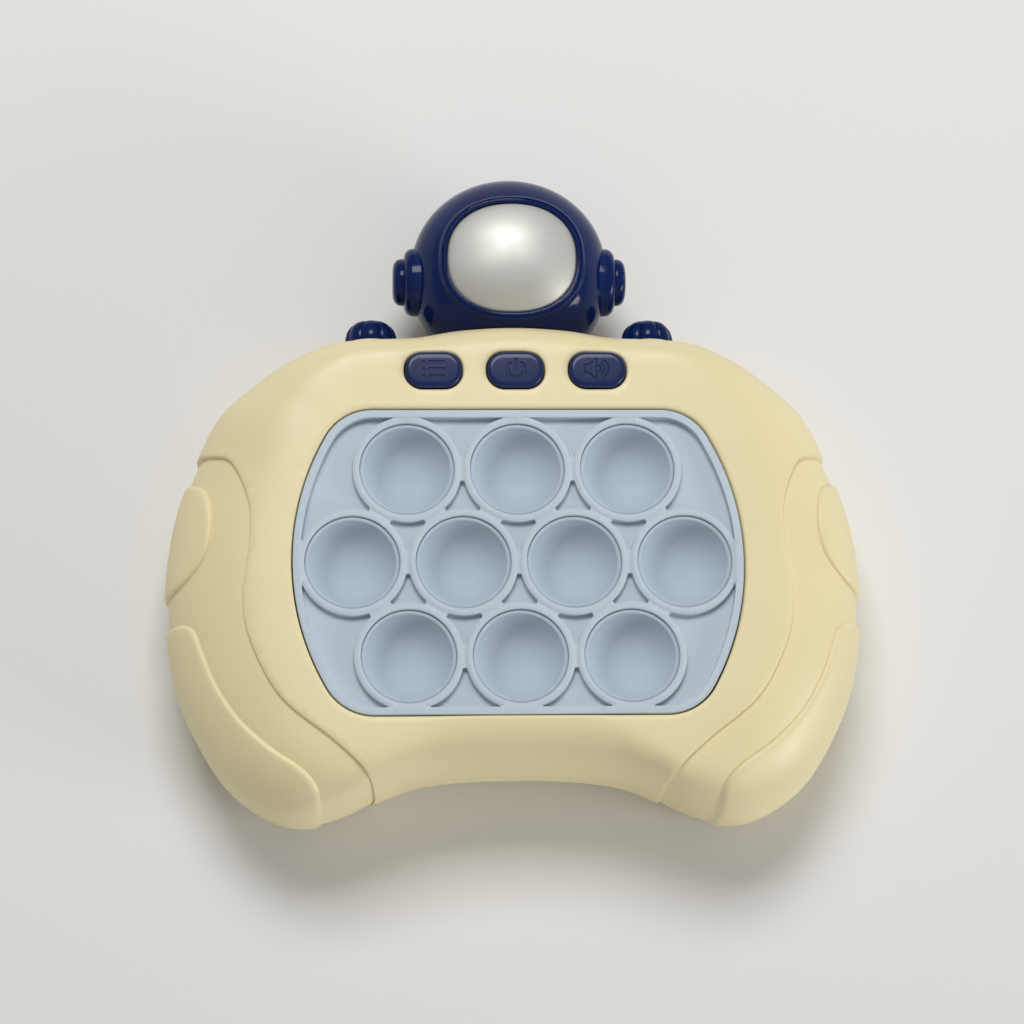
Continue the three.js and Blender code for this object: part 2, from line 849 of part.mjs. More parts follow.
// Bubble parts
function bubbleMat() {
  const rim = prism(openingOutline(-fitGap), matBottom, matRimTop).subtract(
    prism(openingOutline(-fitGap - matRimWidth), matFloorTop, caseThickness),
  );
  const flange = prism(openingOutline(matFlangeWidth), matBottom, matFlangeTop);
  const ringRadius = ringHoleRadius + ringWall;
  const rings = bubblePlaces.map(({ x, y }) => rodZ(ringRadius, matBottom, ringTop, x, y, ringSteps));
  const holes = bubblePlaces.map(({ x, y }) =>
    rodZ(ringHoleRadius, matBottom - cutOverrun, caseThickness, x, y, roundSteps),
  );
  const webs = bubblePlaces.flatMap((a, i) =>
    bubblePlaces.slice(i + 1).flatMap((b) => {
      const span = Math.hypot(a.x - b.x, a.y - b.y);
      if (span > bubblePitch + fitGap) return [];
      const box = new THREE.BoxGeometry(bubblePitch - 2 * ringHoleRadius, webWidth, ringTop - matBottom);
      box.rotateZ(Math.atan2(b.y - a.y, b.x - a.x));
      return [solidOf(box.translate((a.x + b.x) / 2, (a.y + b.y) / 2, (ringTop + matBottom) / 2))];
    }),
  );
  return union([rim, flange, ...rings, ...webs]).subtract(union(holes));
}

function bubble(x, y) {
  const radius = ringHoleRadius - fitGap;
  const sphere = (bowlRadius ** 2 + bowlDepth ** 2) / (2 * bowlDepth);
  const centre = lipTop - bowlDepth + sphere;
  const lipBottom = lipTop - lipHeight;
  const arc = (ball, top) => {
    const end = Math.acos((centre - top) / ball);
    return Array.from({ length: bowlSteps + 1 }, (_, k) => {
      const turn = (end * k) / bowlSteps;
      return [ball * Math.sin(turn), centre - ball * Math.cos(turn)];
    });
  };
  const outer = arc(sphere + bowlWall, lipBottom);
  const inner = arc(sphere, lipTop);
  const profile = [...outer, [radius, lipBottom], [radius, lipTop], ...inner.reverse()];
  return solidOf(turned(profile, roundSteps).translate(x, y, 0));
}

function key(x, y) {
  const profile = [
    [0, keyBottom],
    [keyStemRadius, keyBottom],
    [keyStemRadius, keyHeadBottom],
    [keyHeadRadius, keyHeadBottom],
    [keyHeadRadius, keyTop],
    [0, keyTop],
  ];
  return solidOf(turned(profile, keySteps).translate(x, y, 0));
}

// Ears that carry a flat piece to the four board posts.
function boardEars(z0, z1) {
  return union(
    boardScrews.map(({ x, y }) => {
      const reach = Math.hypot(x, y);
      const bar = new THREE.BoxGeometry(reach / 2, boardEarWidth, z1 - z0);
      bar.translate(reach * 0.75, 0, (z0 + z1) / 2).rotateZ(Math.atan2(y, x));
      return solidOf(bar).add(rodZ(boardEarWidth / 2, z0, z1, x, y));
    }),
  );
}

const boardScrewHoles = () =>
  union(
    boardScrews.map(({ x, y }) => rodZ(screwShankRadius + fitGap, 0, caseThickness, x, y)),
  );

function keyTray() {
  const floor = prism(openingOutline(matFlangeWidth), trayBottom, trayFloorTop);
  const wall = prism(openingOutline(matFlangeWidth), trayBottom, trayTop).subtract(
    prism(openingOutline(matFlangeWidth - trayWall), trayFloorTop, caseThickness),
  );
  const spacers = boardScrews.map(({ x, y }) =>
    rodZ(boardEarWidth / 2, boardTop + fitGap, trayFloorTop, x, y),
  );
  const guides = bubblePlaces.map(({ x, y }) =>
    rodZ(keyStemRadius + fitGap, 0, caseThickness, x, y, keySteps),
  );
  return union([floor, wall, boardEars(trayBottom, trayFloorTop), ...spacers])
    .subtract(union(guides))
    .subtract(boardScrewHoles());
}

function mainBoard() {
  const plate = prism(openingOutline(-boardInset), boardBottom, boardTop);
  const half = lampSize / 2;
  const lamps = bubblePlaces.map(({ x, y }) =>
    block(
      x + lampOffset - half,
      x + lampOffset + half,
      y - half,
      y + half,
      boardBottom,
      boardTop + lampHeight,
    ),
  );
  const chip = block(
    chipX - chipSize / 2,
    chipX + chipSize / 2,
    -chipSize / 2,
    chipSize / 2,
    boardBottom - chipHeight,
    boardTop,
  );
  const tab = block(-boardTabWidth / 2, boardTabWidth / 2, 0, boardTabEdge, boardBottom, boardTop);
  const side = switchSize / 2;
  const switches = buttonPlaces.flatMap((x) => [
    block(
      x - side,
      x + side,
      buttonRowY - side,
      buttonRowY + side,
      boardBottom,
      boardTop + switchHeight,
    ),
    rodZ(buttonPegRadius, boardBottom, switchTop, x, buttonRowY),
  ]);
  const ears = boardEars(boardBottom, boardTop);
  return union([plate, ears, tab, chip, ...lamps, ...switches]).subtract(boardScrewHoles());
}

// Function buttons
function button(x) {
  const outline = (grow) => buttonHole(x, grow);
  const body = prism(outline(-fitGap), buttonFlangeBottom, caseThickness + buttonProud - buttonCrown);
  const flange = prism(outline(buttonFlange), buttonFlangeBottom, buttonFlangeTop);
  const crownRings = [];
  for (let k = 0; k <= 2; k++) {
    const turn = (quarterTurn * k) / 2;
    const grow = -fitGap - buttonCrownInset * (1 - Math.cos(turn));
    const z = caseThickness + buttonProud - buttonCrown * (1 - Math.sin(turn));
    crownRings.push(outline(grow).slice(0, -1).map((p) => new THREE.Vector3(p.x, p.y, z)));
  }
  const foot = crownRings[0].map((p) => new THREE.Vector3(p.x, p.y, buttonFlangeBottom));
  const crown = solidOf(skin([foot, ...crownRings]));
  const peg = rodZ(buttonPegRadius, buttonPegBottom, buttonFlangeTop, x, buttonRowY);
  return union([body, flange, crown, peg]);
}

// Helmet parts
const helmetClear = caseForm(-fitGap).add(dialCollars());
const earPegs = (grow) =>
  union(
    sides.map((side) => {
      const [near, far] = [helmetHalfWidth - earPegDepth, helmetHalfWidth + earPegDepth];
      const [x0, x1] = side < 0 ? [-far, -near] : [near, far];
      return rodX(earPegRadius + grow, x0, x1, earCentreY, helmetCentreZ);
    }),
  );
const helmetScrewY = helmetCentreY + helmetHalfLength - postRadius - helmetWall - screwShankRadius;
const helmetSeat = helmetSplitZ - wellFloor;

function helmetShell() {
  const body = helmetBody(0);
  const bead = helmetBody(visorBeadHeight).intersect(visorPrism(visorBeadWidth));
  const inside = helmetBody(-helmetWall);
  const post = rodZ(postRadius, 0, caseThickness, 0, helmetScrewY).intersect(helmetBody(-helmetWall / 2));
  const visorRoom = inside
    .intersect(visorPrism(visorFlange + fitGap))
    .intersect(above(helmetSplitZ + visorRoot - fitGap));
  return body
    .add(bead)
    .subtract(helmetClear)
    .subtract(inside)
    .add(neck(0))
    .add(post)
    .subtract(visorPrism(0).intersect(above(helmetSplitZ + cutOverrun)))
    .subtract(visorRoom)
    .subtract(earPegs(fitGap));
}

const helmet = helmetShell();

function helmetFront() {
  const pilot = rodZ(screwShankRadius + fitGap, 0, helmetSplitZ + postBite, 0, helmetScrewY);
  return helmet.intersect(above(helmetSplitZ + fitGap / 2)).subtract(pilot);
}

function helmetRear() {
  const well = rodZ(wellRadius, -cutOverrun, helmetSeat, 0, helmetScrewY);
  const hole = rodZ(screwShankRadius + fitGap, -cutOverrun, caseThickness, 0, helmetScrewY);
  return helmet.intersect(below(helmetSplitZ - fitGap / 2)).subtract(well).subtract(hole);
}

function visor() {
  const face = helmetBody(-visorRecess).intersect(visorPrism(-fitGap));
  const flange = helmetBody(-helmetWall - fitGap).intersect(visorPrism(visorFlange));
  const back = helmetBody(-helmetWall - fitGap - visorThickness);
  return face.add(flange).subtract(back).intersect(above(helmetSplitZ + visorRoot));
}

function ear(side) {
  const foot = helmetHalfWidth - earPegDepth;
  const baseTop = earReach - earCapHeight;
  const profile = [
    [0, foot],
    [earRadius, foot],
    [earRadius, baseTop - earRound],
    [earRadius - earRound, baseTop],
    [earCapRadius, baseTop],
    [earCapRadius - earRound * 0.4, earReach - earRound * 0.4],
    [0, earReach],
  ];
  const disc = turned(profile, roundSteps).rotateY(side * quarterTurn);
  const placed = solidOf(disc.translate(0, earCentreY, helmetCentreZ));
  return placed.subtract(helmetBody(fitGap)).add(earPegs(0).intersect(sideHalf(side)));
}

function sideHalf(side) {
  const far = caseWidth + caseLength;
  return side < 0 ? block(-far, 0, -far, far, -far, far) : block(0, far, -far, far, -far, far);
}

// Fluted dial on the case's upper edge, turning about Y.
function dial(side) {
  const base = dialEdgeY + dialCollarHeight + dialGap;
  const stemEnd = dialEdgeY - dialStemLength;
  const clipTop = stemEnd + dialClipThickness;
  const points = dialDomeShares.map(
    ([r, h]) => new THREE.Vector2(r * dialRadius, base + h * dialHeight),
  );
  const cap = new THREE.LatheGeometry(points, dialSteps);
  const place = cap.attributes.position;
  for (let i = 0; i < place.count; i++) {
    const [x, z] = [place.getX(i), place.getZ(i)];
    const flute = 1 - dialFluteShare * (1 - Math.cos(dialLobes * Math.atan2(x, z)));
    place.setX(i, x * flute);
    place.setZ(i, z * flute);
  }
  const x = side * dialX;
  return union([
    solidOf(cap.translate(x, 0, partingHeight)),
    rodY(dialStemRadius, stemEnd, base + dialHeight / 2, x, partingHeight),
    rodY(dialClipRadius, stemEnd, clipTop, x, partingHeight),
  ]);
}

// Rear fittings
// A cell with its nub end against the plate on the given side.
function cell(y, nubSide) {
  const near = -bayLength / 2 + springRoom;
  const far = bayLength / 2 - platedGap;
  const profile = [
    [0, near],
    [cellRadius, near],
    [cellRadius, far - cellNubLength],
    [cellNubRadius, far - cellNubLength],
    [cellNubRadius, far],
    [0, far],
  ];
  const can = turned(profile, cellSteps).rotateY(nubSide * quarterTurn);
  return solidOf(can.translate(0, y, cellCentreZ));
}

// Spring plate at one end of the bay, with a coil for each cell whose flat end faces it.
function contact(side) {
  const wall = bayLength / 2 - fitGap;
  const halfY = bayHeight / 2 - fitGap;
  const [x0, x1] = [wall - contactThickness, wall].map((x) => side * x).sort((a, b) => a - b);
  const plate = block(
    x0,
    x1,
    bayCentreY - halfY,
    bayCentreY + halfY,
    cellCentreZ - cellRadius,
    cellCentreZ + cellRadius / 2,
  );
  const tip = bayLength / 2 - springRoom + fitGap;
  const coils = cellPlaces
    .filter((y, i) => nubSides[i] !== side)
    .map((y) => {
      const cone = new THREE.CylinderGeometry(
        contactSpringRadius,
        contactSpringTipRadius,
        wall - tip,
        screwSteps,
      );
      const middleX = (side * (wall + tip)) / 2;
      return solidOf(cone.rotateZ(-side * quarterTurn).translate(middleX, y, cellCentreZ));
    });
  return union([plate, ...coils]);
}

function speaker() {
  const front = speakerBottom + speakerDepth;
  const profile = [
    [0, speakerBottom + speakerDepth / 2],
    [speakerMagnetRadius, speakerBottom + speakerDepth / 3],
    [speakerRadius - speakerSeatWall, speakerBottom],
    [speakerRadius, speakerBottom],
    [speakerRadius, speakerBottom + speakerDepth / 2],
    [speakerMagnetRadius + speakerSeatWall, front],
    [speakerMagnetRadius, front],
    [speakerMagnetRadius, front + speakerMagnetDepth],
    [0, front + speakerMagnetDepth],
  ];
  return solidOf(turned(profile, roundSteps).translate(0, speakerY, 0));
}

// A lead along a smooth curve through its points.
function lead(points) {
  const curve = new THREE.CatmullRomCurve3(points.map((p) => new THREE.Vector3(...p)));
  const section = new THREE.Shape();
  section.absarc(0, 0, leadRadius, 0, 2 * Math.PI);
  const outline = section.getPoints(leadSides).slice(0, leadSides);
  return solidOf(
    new THREE.ExtrudeGeometry(new THREE.Shape(outline), {
      steps: leadSteps,
      extrudePath: curve,
      bevelEnabled: false,
    }),
  );
}

const leadGap = fitGap + leadRadius;
const speakerTop = speakerBottom + speakerDepth + speakerMagnetDepth;
const speakerLead = () =>
  lead([
    [0, speakerY, speakerTop + fitGap],
    [0, speakerY, speakerTop + leadGap * 2],
    [-leadGap * 2, speakerY - leadGap * 3, (speakerTop + boardBottom) / 2],
    [-leadGap * 2, speakerY - leadGap * 4, boardBottom - leadGap * 2],
    [-leadGap * 2, speakerY - leadGap * 4, boardBottom - fitGap],
  ]);
const cellLead = () =>
  lead([
    [-bayLength / 3, bayCentreY, bayTop + bayRoof + fitGap],
    [-bayLength / 3, bayCentreY, bayTop + bayRoof + leadGap],
    [-bayLength / 4, bayCentreY, boardBottom - leadGap],
    [-bayLength / 4, bayCentreY, boardBottom - fitGap],
  ]);

// Assembly
const game = new THREE.Group();
function put(name, solid, material) {
  const mesh = new THREE.Mesh(geometryOf(solid), material);
  mesh.name = name;
  game.add(mesh);
}

put("front_cover", frontCover(), creamPlastic);
put("rear_cover", rearCover(), creamPlastic);
put("battery_door", batteryDoor(), creamPlastic);
put("bubble_mat", bubbleMat(), greyBlueSilicone);
bubblePlaces.forEach(({ x, y }, i) => {
  const number = String(i + 1).padStart(2, "0");
  put("bubble_" + number, bubble(x, y), greyBlueSilicone);
  put("key_" + number, key(x, y), frostedKey);
});
put("key_tray", keyTray(), whitePlastic);
put("main_board", mainBoard(), boardGreen);
["mode_button", "power_button", "volume_button"].forEach((name, i) =>
  put(name, button(buttonPlaces[i]), navyPlastic),
);
put("helmet_front", helmetFront(), navyPlastic);
put("helmet_rear", helmetRear(), navyPlastic);
put("visor", visor(), silverVisor);
sides.forEach((side) => {
  const hand = side < 0 ? "left" : "right";
  put("ear_pod_" + hand, ear(side), navyPlastic);
  put("dial_" + hand, dial(side), navyPlastic);
  put("cell_contact_" + hand, contact(side), steel);
});
cellPlaces.forEach((y, i) => put("cell_" + (i + 1), cell(y, nubSides[i]), cellJacket));
put("speaker", speaker(), speakerBlack);
put("speaker_lead", speakerLead(), leadRed);
put("cell_lead", cellLead(), leadRed);
caseScrews.forEach(({ x, y }, i) => {
  const solid = screw(x, y, wellDepth - fitGap, postTop + postBite);
  put("case_screw_" + (i + 1), solid, steel);
});
boardScrews.forEach(({ x, y }, i) => {
  const solid = screw(x, y, boardBottom - fitGap, trayFloorTop + boardScrewBite, false);
  put("board_screw_" + (i + 1), solid, steel);
});
put("helmet_screw", screw(0, helmetScrewY, helmetSeat - fitGap, helmetSplitZ + postBite - fitGap), steel);
put(
  "battery_door_screw",
  screw(0, doorScrewY, doorInner - doorScrewFloor - fitGap, doorInner + doorScrewReach),
  steel,
);

// The origin lies on the table under the middle of the whole game.
const bounds = new THREE.Box3().setFromObject(game);
const middle = bounds.getCenter(new THREE.Vector3());
game.position.set(-middle.x, -middle.y, -bounds.min.z);

export default game;
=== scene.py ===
import math

import bmesh
import bpy
import numpy as np
from mathutils import Matrix, Vector
from mathutils.geometry import delaunay_2d_cdt


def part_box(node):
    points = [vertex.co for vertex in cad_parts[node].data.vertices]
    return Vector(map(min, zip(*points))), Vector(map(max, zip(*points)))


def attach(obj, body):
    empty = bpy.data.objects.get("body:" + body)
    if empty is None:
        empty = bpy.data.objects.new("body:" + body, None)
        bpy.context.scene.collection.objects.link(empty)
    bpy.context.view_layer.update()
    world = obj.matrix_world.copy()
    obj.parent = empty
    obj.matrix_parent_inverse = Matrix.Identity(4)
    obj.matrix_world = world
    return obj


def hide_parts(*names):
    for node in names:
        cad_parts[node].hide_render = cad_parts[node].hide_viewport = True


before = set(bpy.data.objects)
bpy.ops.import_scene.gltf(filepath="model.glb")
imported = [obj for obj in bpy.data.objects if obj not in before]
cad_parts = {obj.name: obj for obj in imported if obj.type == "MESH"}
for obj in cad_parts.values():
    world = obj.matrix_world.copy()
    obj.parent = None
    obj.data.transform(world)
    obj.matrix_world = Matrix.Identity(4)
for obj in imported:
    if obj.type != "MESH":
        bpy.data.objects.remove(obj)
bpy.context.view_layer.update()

# All sizes are in millimetres, from the middle of the bubble panel on the table.
MM = 0.001
TURN = 2 * math.pi
low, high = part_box("bubble_mat")
PANEL_Y = (low.y + high.y) / 2 / MM

# Camera, fitted to the photograph
# Azimuth, elevation and roll in degrees
CAMERA_TURNS = (-13.42, 74.75, -1.08)
CAMERA_TARGET = (-1.462, 11.94, 39.5)
CAMERA_DISTANCE = 801.6
CAMERA_LENS = 120

# Case
CASE_WIDTH = 166.6
CASE_LENGTH = 121
CASE_THICKNESS = 40
PARTING = 18
SIDE_RUN = 29
REAR_RUN = 9
GRIP_STEP = 1
COVER_WALL = 2.2
SEAM = 0.15
FIT = 0.3
EDGE_ROUND = 0.5
SOFT_SHARE = 0.6
SOFT_MOST = 10
ROLL_ROOM = 1.5
RIM_STEPS = 60
LINE_STEPS = 6
CUTTER_ROWS = 8
CUTTER_END = 0.999
# Right half of the outline: share of half the width, of the length, and of the side shoulder's run.
OUTLINE = [
    (0, 0.509, 0.28), (0.157, 0.5025, 0.28), (0.29, 0.487, 0.28), (0.41, 0.4825, 0.28),
    (0.535, 0.4735, 0.31), (0.66, 0.439, 0.42), (0.768, 0.387, 0.6), (0.852, 0.331, 0.78),
    (0.914, 0.243, 0.92), (0.971, 0.132, 1), (0.9975, 0.0165, 1), (0.999, -0.091, 1),
    (0.972, -0.2065, 0.97), (0.917, -0.306, 0.92), (0.826, -0.4065, 0.86), (0.718, -0.465, 0.78),
    (0.615, -0.4855, 0.66), (0.507, -0.469, 0.5), (0.405, -0.436, 0.42), (0.29, -0.408, 0.4),
    (0.145, -0.396, 0.4), (0, -0.394, 0.4),
]
# Edges of the raised areas on the right side, as shares of half the width and of the length.
PANEL_EDGE = [
    (1.2, 0.245), (0.95, 0.245), (0.862, 0.231), (0.808, 0.207), (0.762, 0.124),
    (0.76, 0.04), (0.778, -0.066), (0.754, -0.157), (0.67, -0.265), (0.528, -0.347),
    (0.446, -0.401), (0.405, -0.446), (0.375, -0.51), (0.375, -0.7),
]
KNUCKLE_EDGE = [
    (1.03, 0.24), (0.94, 0.193), (0.885, 0.158), (0.868, 0.09), (0.882, 0.03),
    (0.93, -0.012), (0.985, -0.037), (1.07, -0.056),
]
LOWER_EDGE = [
    (1.2, -0.105), (1.07, -0.105), (0.97, -0.102), (0.922, -0.117), (0.897, -0.157),
    (0.856, -0.227), (0.79, -0.298), (0.7, -0.358), (0.62, -0.397), (0.576, -0.432),
    (0.564, -0.471), (0.56, -0.55), (0.56, -0.7),
]

# Steps: share of the height by the distance in from the foot
PANEL_STEP = ((0, 0), (0.12, 0.5), (0.3, 0.82), (0.6, 1))
PAD_STEP = ((0, 0), (0.12, 0.4), (0.3, 0.66), (0.6, 0.86), (0.95, 0.96), (1.4, 1))
EDGE_STEP = ((0, 0), (0.1, 0.5), (0.25, 0.8), (0.5, 1))
MAT_WALL_STEP = ((0, 0), (0.08, 0.8), (0.16, 1))
MAT_CROWN_STEP = ((0.25, 0), (0.4, 1))
MAT_EDGE_STEP = ((0, 0), (0.07, 0.6), (0.2, 1))
MAT_RIM_STEP = ((-0.15, 0), (0.15, 1))
BUTTON_STEP = ((0, 0), (0.07, 0.3), (0.18, 0.55), (0.36, 0.78), (0.6, 0.92), (0.9, 0.98), (1.25, 1))
ICON_STEP = ((0, 0), (0.1, 1))
SEAT_STEP = ((0, 0), (0.12, 1))

# Meshing: pitch of the samples, length of the edges and size of the triangles
FRONT_MESH = (0.6, 0.5, 1.2)
REAR_MESH = (0.6, 0.5, 1.6)
MAT_MESH = (0.25, 0.4, 1.2)
BUTTON_MESH = (0.08, 0.25, 0.5)
DOOR_MESH = (0.4, 0.4, 2)
HEX_ROW = 0.866
CLEAR_SHARE = 0.45
LOOP_PITCH = 0.05
ROUND_STEPS = 40
CREASE = 38
FINE_CREASE = 50
ROUND_CREASE = 60
SAME_PLACE = 1e-6
MERGE_LENGTH = 2e-6
TINY = 1e-9
OVERRUN = 5

# Bubble panel
PITCH = 26
NEIGHBOUR_SHARE = 1.05
ROW_COUNTS = (3, 4, 3)
OPENING_X = 53.3
OPENING_Y = 37.05
OPENING_SHIFT = 0.25
OPENING_SIDE = 62
OPENING_CORNER = 13
MAT_BOTTOM = 35.2
MAT_FLOOR = 37.8
RIM_TOP = 39.7
RIM_WIDTH = 2
MAT_GAP = 0.4
MAT_ROUND = 0.16
RING_TOP = 39.5
RING_OUTER = 12.95
RING_HOLE = 11.2
RING_CROWN = 0.14
BUBBLE_GAP = 0.06
WEB_LENGTH = 2.6
WEB_WIDTH = 5.9
WEB_BLEND = 0.12
RIM_BLEND = 0.25
LIP_TOP = 38.8
BOWL_RADIUS = 10
BOWL_DEPTH = 6.6
BOWL_POWER = 2.6
BOWL_WALL = 0.45
BOWL_START = 0.5
BOWL_ROWS = 30
ROW_POWER = 0.8
UNDER_SPREAD = 1.06
UNDER_DROP = 1.3
BUBBLE_STEPS = 96
# Lip of a bubble: distance in from its edge, and height over LIP_TOP.
LIP = [(0, -1.6), (0, -0.3), (0.1, -0.16), (0.28, -0.04), (0.5, 0.02)]
LIP += [(0.72, 0), (0.9, -0.1), (1.02, -0.24), (1.1, -0.38)]

# Function buttons
BUTTON_Y = 46.7
BUTTON_SIZE = (14, 9.4)
BUTTON_CORNER = 4.4
BUTTON_TOP = 40.8
BUTTON_BOTTOM = 35
BUTTON_PLACES = (-19.5, 0, 19.5)
BUTTON_DROP = 0.9
BUTTON_BULGE = 0.05
ICON_DEPTH = 0.25
ICON_WIDTHS = (0.8, 0.9, 0.42)
LIST_ROWS = (1.75, 0, -1.75)
LIST_BARS = ((-1, 2.3), (-2.4, -2.3))
POWER_Y = -0.1
POWER_RADIUS = 2
POWER_SWEEP = (130, 410)
POWER_STEPS = 48
SOUND_STEPS = 24
POWER_BAR_TOP = 2.3
CONE = [(-3.1, 1), (-2.1, 1), (-0.3, 2.6), (-0.3, -2.6), (-2.1, -1), (-3.1, -1), (-3.1, 1)]
CONE_FRONT = -0.3
SOUND_RADII = (1, 1.9, 2.8)
SOUND_SWEEP = (-52, 52)

# Helmet
HELMET_X = 23.9
HELMET_Y = 22.2
HELMET_Z = 20
HELMET_CENTRE = (0, 78.189, 20.5)
HELMET_WALL = 2.2
CROWN_POWER = 2.0
CHIN_POWER = 2.7
FRONT_COUNT = 240
FRONT_ROWS = 30
LINING_ROWS = 12
OUTLINE_COUNT = 720
REAR_COUNT = 168
REAR_ROWS = 24
VISOR_CENTRE_Y = 76.289
VISOR_X = 15.75
VISOR_Y = 13.55
VISOR_POWER = 2.35
VISOR_RECESS = 0.6
VISOR_BULGE = 0.7
VISOR_COUNT = 200
VISOR_ROWS = 28
VISOR_FLAT = (0.02, 0.96)
# Visor outside its even dome, then its back: share of the outline, and drop.
VISOR_EDGE = [(0.975, 0.01), (0.985, 0.05), (0.993, 0.13), (1, 0.3)]
VISOR_BACK = [(1, 2), (0.5, 2.2), (0.02, 2.2)]
# Rim round the visor: distance out from the opening, and height over the helmet.
VISOR_RIM = [(0, -1.6), (0, -0.1), (0.06, 0.06), (0.18, 0.16), (0.3, 0.26), (0.42, 0.44)]
VISOR_RIM += [(0.58, 0.54), (0.75, 0.46), (0.9, 0.24), (1.02, 0.3), (1.16, 0.6)]
VISOR_RIM += [(1.34, 0.74), (1.54, 0.64), (1.72, 0.28), (1.9, 0)]
EAR_Y = 75.089
# Ear disc: radius, and distance from the middle; all but its ends is smoothed.
EAR_BASE = [(0, 19.9), (8.3, 19.9)]
EAR_CURVE = [(8.3, 23.3), (8.15, 24.2), (7.7, 25), (7, 25.5), (6.1, 25.75), (5.75, 25.85), (5.75, 26.1)]
EAR_CURVE += [(5.72, 26.6), (5.5, 27.3), (5, 27.9), (4.2, 28.3), (3, 28.5), (1.5, 28.55)]
EAR_TOP = (0, 28.55)
EAR_STEPS = 72
EAR_CURVE_STEPS = 3

# Dials
DIAL_X = 33.8
DIAL_RADIUS = 6.2
DIAL_HEIGHT = 5.7
DIAL_BASE_Y = 59.78
DIAL_EDGE_Y = 58.38
# Cap of a dial, as shares of its radius and height.
DIAL_CAP = [(1, 0), (1.02, 0.15), (1, 0.34), (0.94, 0.56), (0.83, 0.75), (0.66, 0.89)]
DIAL_CAP += [(0.42, 0.97), (0.2, 0.995)]
DIAL_UNDER = (0.9, 0)
DIAL_STEPS = 160
DIAL_CURVE_STEPS = 4
DIAL_CREASE = 45
FLUTES = 8
FLUTE_DEPTH = 0.12
FLUTE_POWER = 0.55
FLUTE_REACH = 1.4
STEM = [(0, 51.4), (3.8, 51.4), (3.8, 53), (2.4, 53), (2.4, 61), (0, 61)]
# Collar of a dial: radius, and distance out from the case's edge at the dial.
COLLAR = [(7.2, -4), (7.2, 0.6), (6.9, 0.9), (3, 0.9), (3, -4)]
COLLAR_STEPS = 32

# Rear
DOOR_SIZE = (54, 36.2)
DOOR_CORNER = 3
DOOR_Y = -8
DOOR_OUT = 0.4
DOOR_IN = 2.6
DOOR_ROUND = 0.35
TONGUE = (13, 8)
TONGUE_CORNER = 0.5
TAB_X = 16
TAB_HALF = 3
TAB_LENGTHS = (-1.5, 3)
TAB_HEIGHTS = (-0.6, 1.2)
TAB_BEVEL = 0.3
SEAT_RADIUS = 2.7
SEAT_WALL = 0.6
BAY_SIZE = (50.6, 32.8)
BAY_CORNER = 1
BAY_WALL = 3
BAY_START = 3.6
BAY_TOP = 14.1
BAY_ROOF = 1.5
LEDGE_WIDTH = 1
LEDGE_TOP = 4.4
SPEAKER_Y = 34.5
SPEAKER_RING = (15.7, 14.3)
SPEAKER_RING_STEPS = 64
SPEAKER_RING_HEIGHTS = (2.6, 8.2)
GRILLE_RADIUS = 11
GRILLE_PITCH = 4
GRILLE_ROWS = range(-2, 3)
SLOT_WIDTH = 1.8
WELL_RADIUS = 3.2
WELL_DEPTH = 8
# Linings of the screw wells: wall, start, top and floor
CASE_WELL = (1.4, 1.6, WELL_DEPTH, 3.2)
HELMET_WELL = (0.7, 7.5, 17.3, 1.5)

# Screws
CASE_SCREWS = [(side * x, y) for x, y in ((49.98, 41.745), (58.31, -41.987)) for side in (-1, 1)]
CASE_SCREW_TIP = 18.5
SCREW_RADIUS = 1.25
SCREW_HEAD = [(0, 0), (1.2, 0.02), (1.8, 0.14), (2.2, 0.4), (2.4, 0.8), (2.4, 1.3)]
CROSS = (1.55, 0.32)
CROSS_DEPTH = 0.75
DOOR_SCREW_Y = 14.45
DOOR_SCREW_HOLE = 1.55
HELMET_SCREW_Y = HELMET_CENTRE[1] + HELMET_Y - HELMET_WALL - SCREW_RADIUS - 3.6
HELMET_WELL_SUNK = 0.4
HELMET_WELL_STEPS = 48
# Screws in the middle: name, place, seat, tip and body
MIDDLE_SCREWS = [
    ("Helmet_screw", HELMET_SCREW_Y, 17, 27.2, "case"),
    ("Battery_door_screw", DOOR_SCREW_Y, DOOR_IN - 0.9, 6.2, "door"),
]

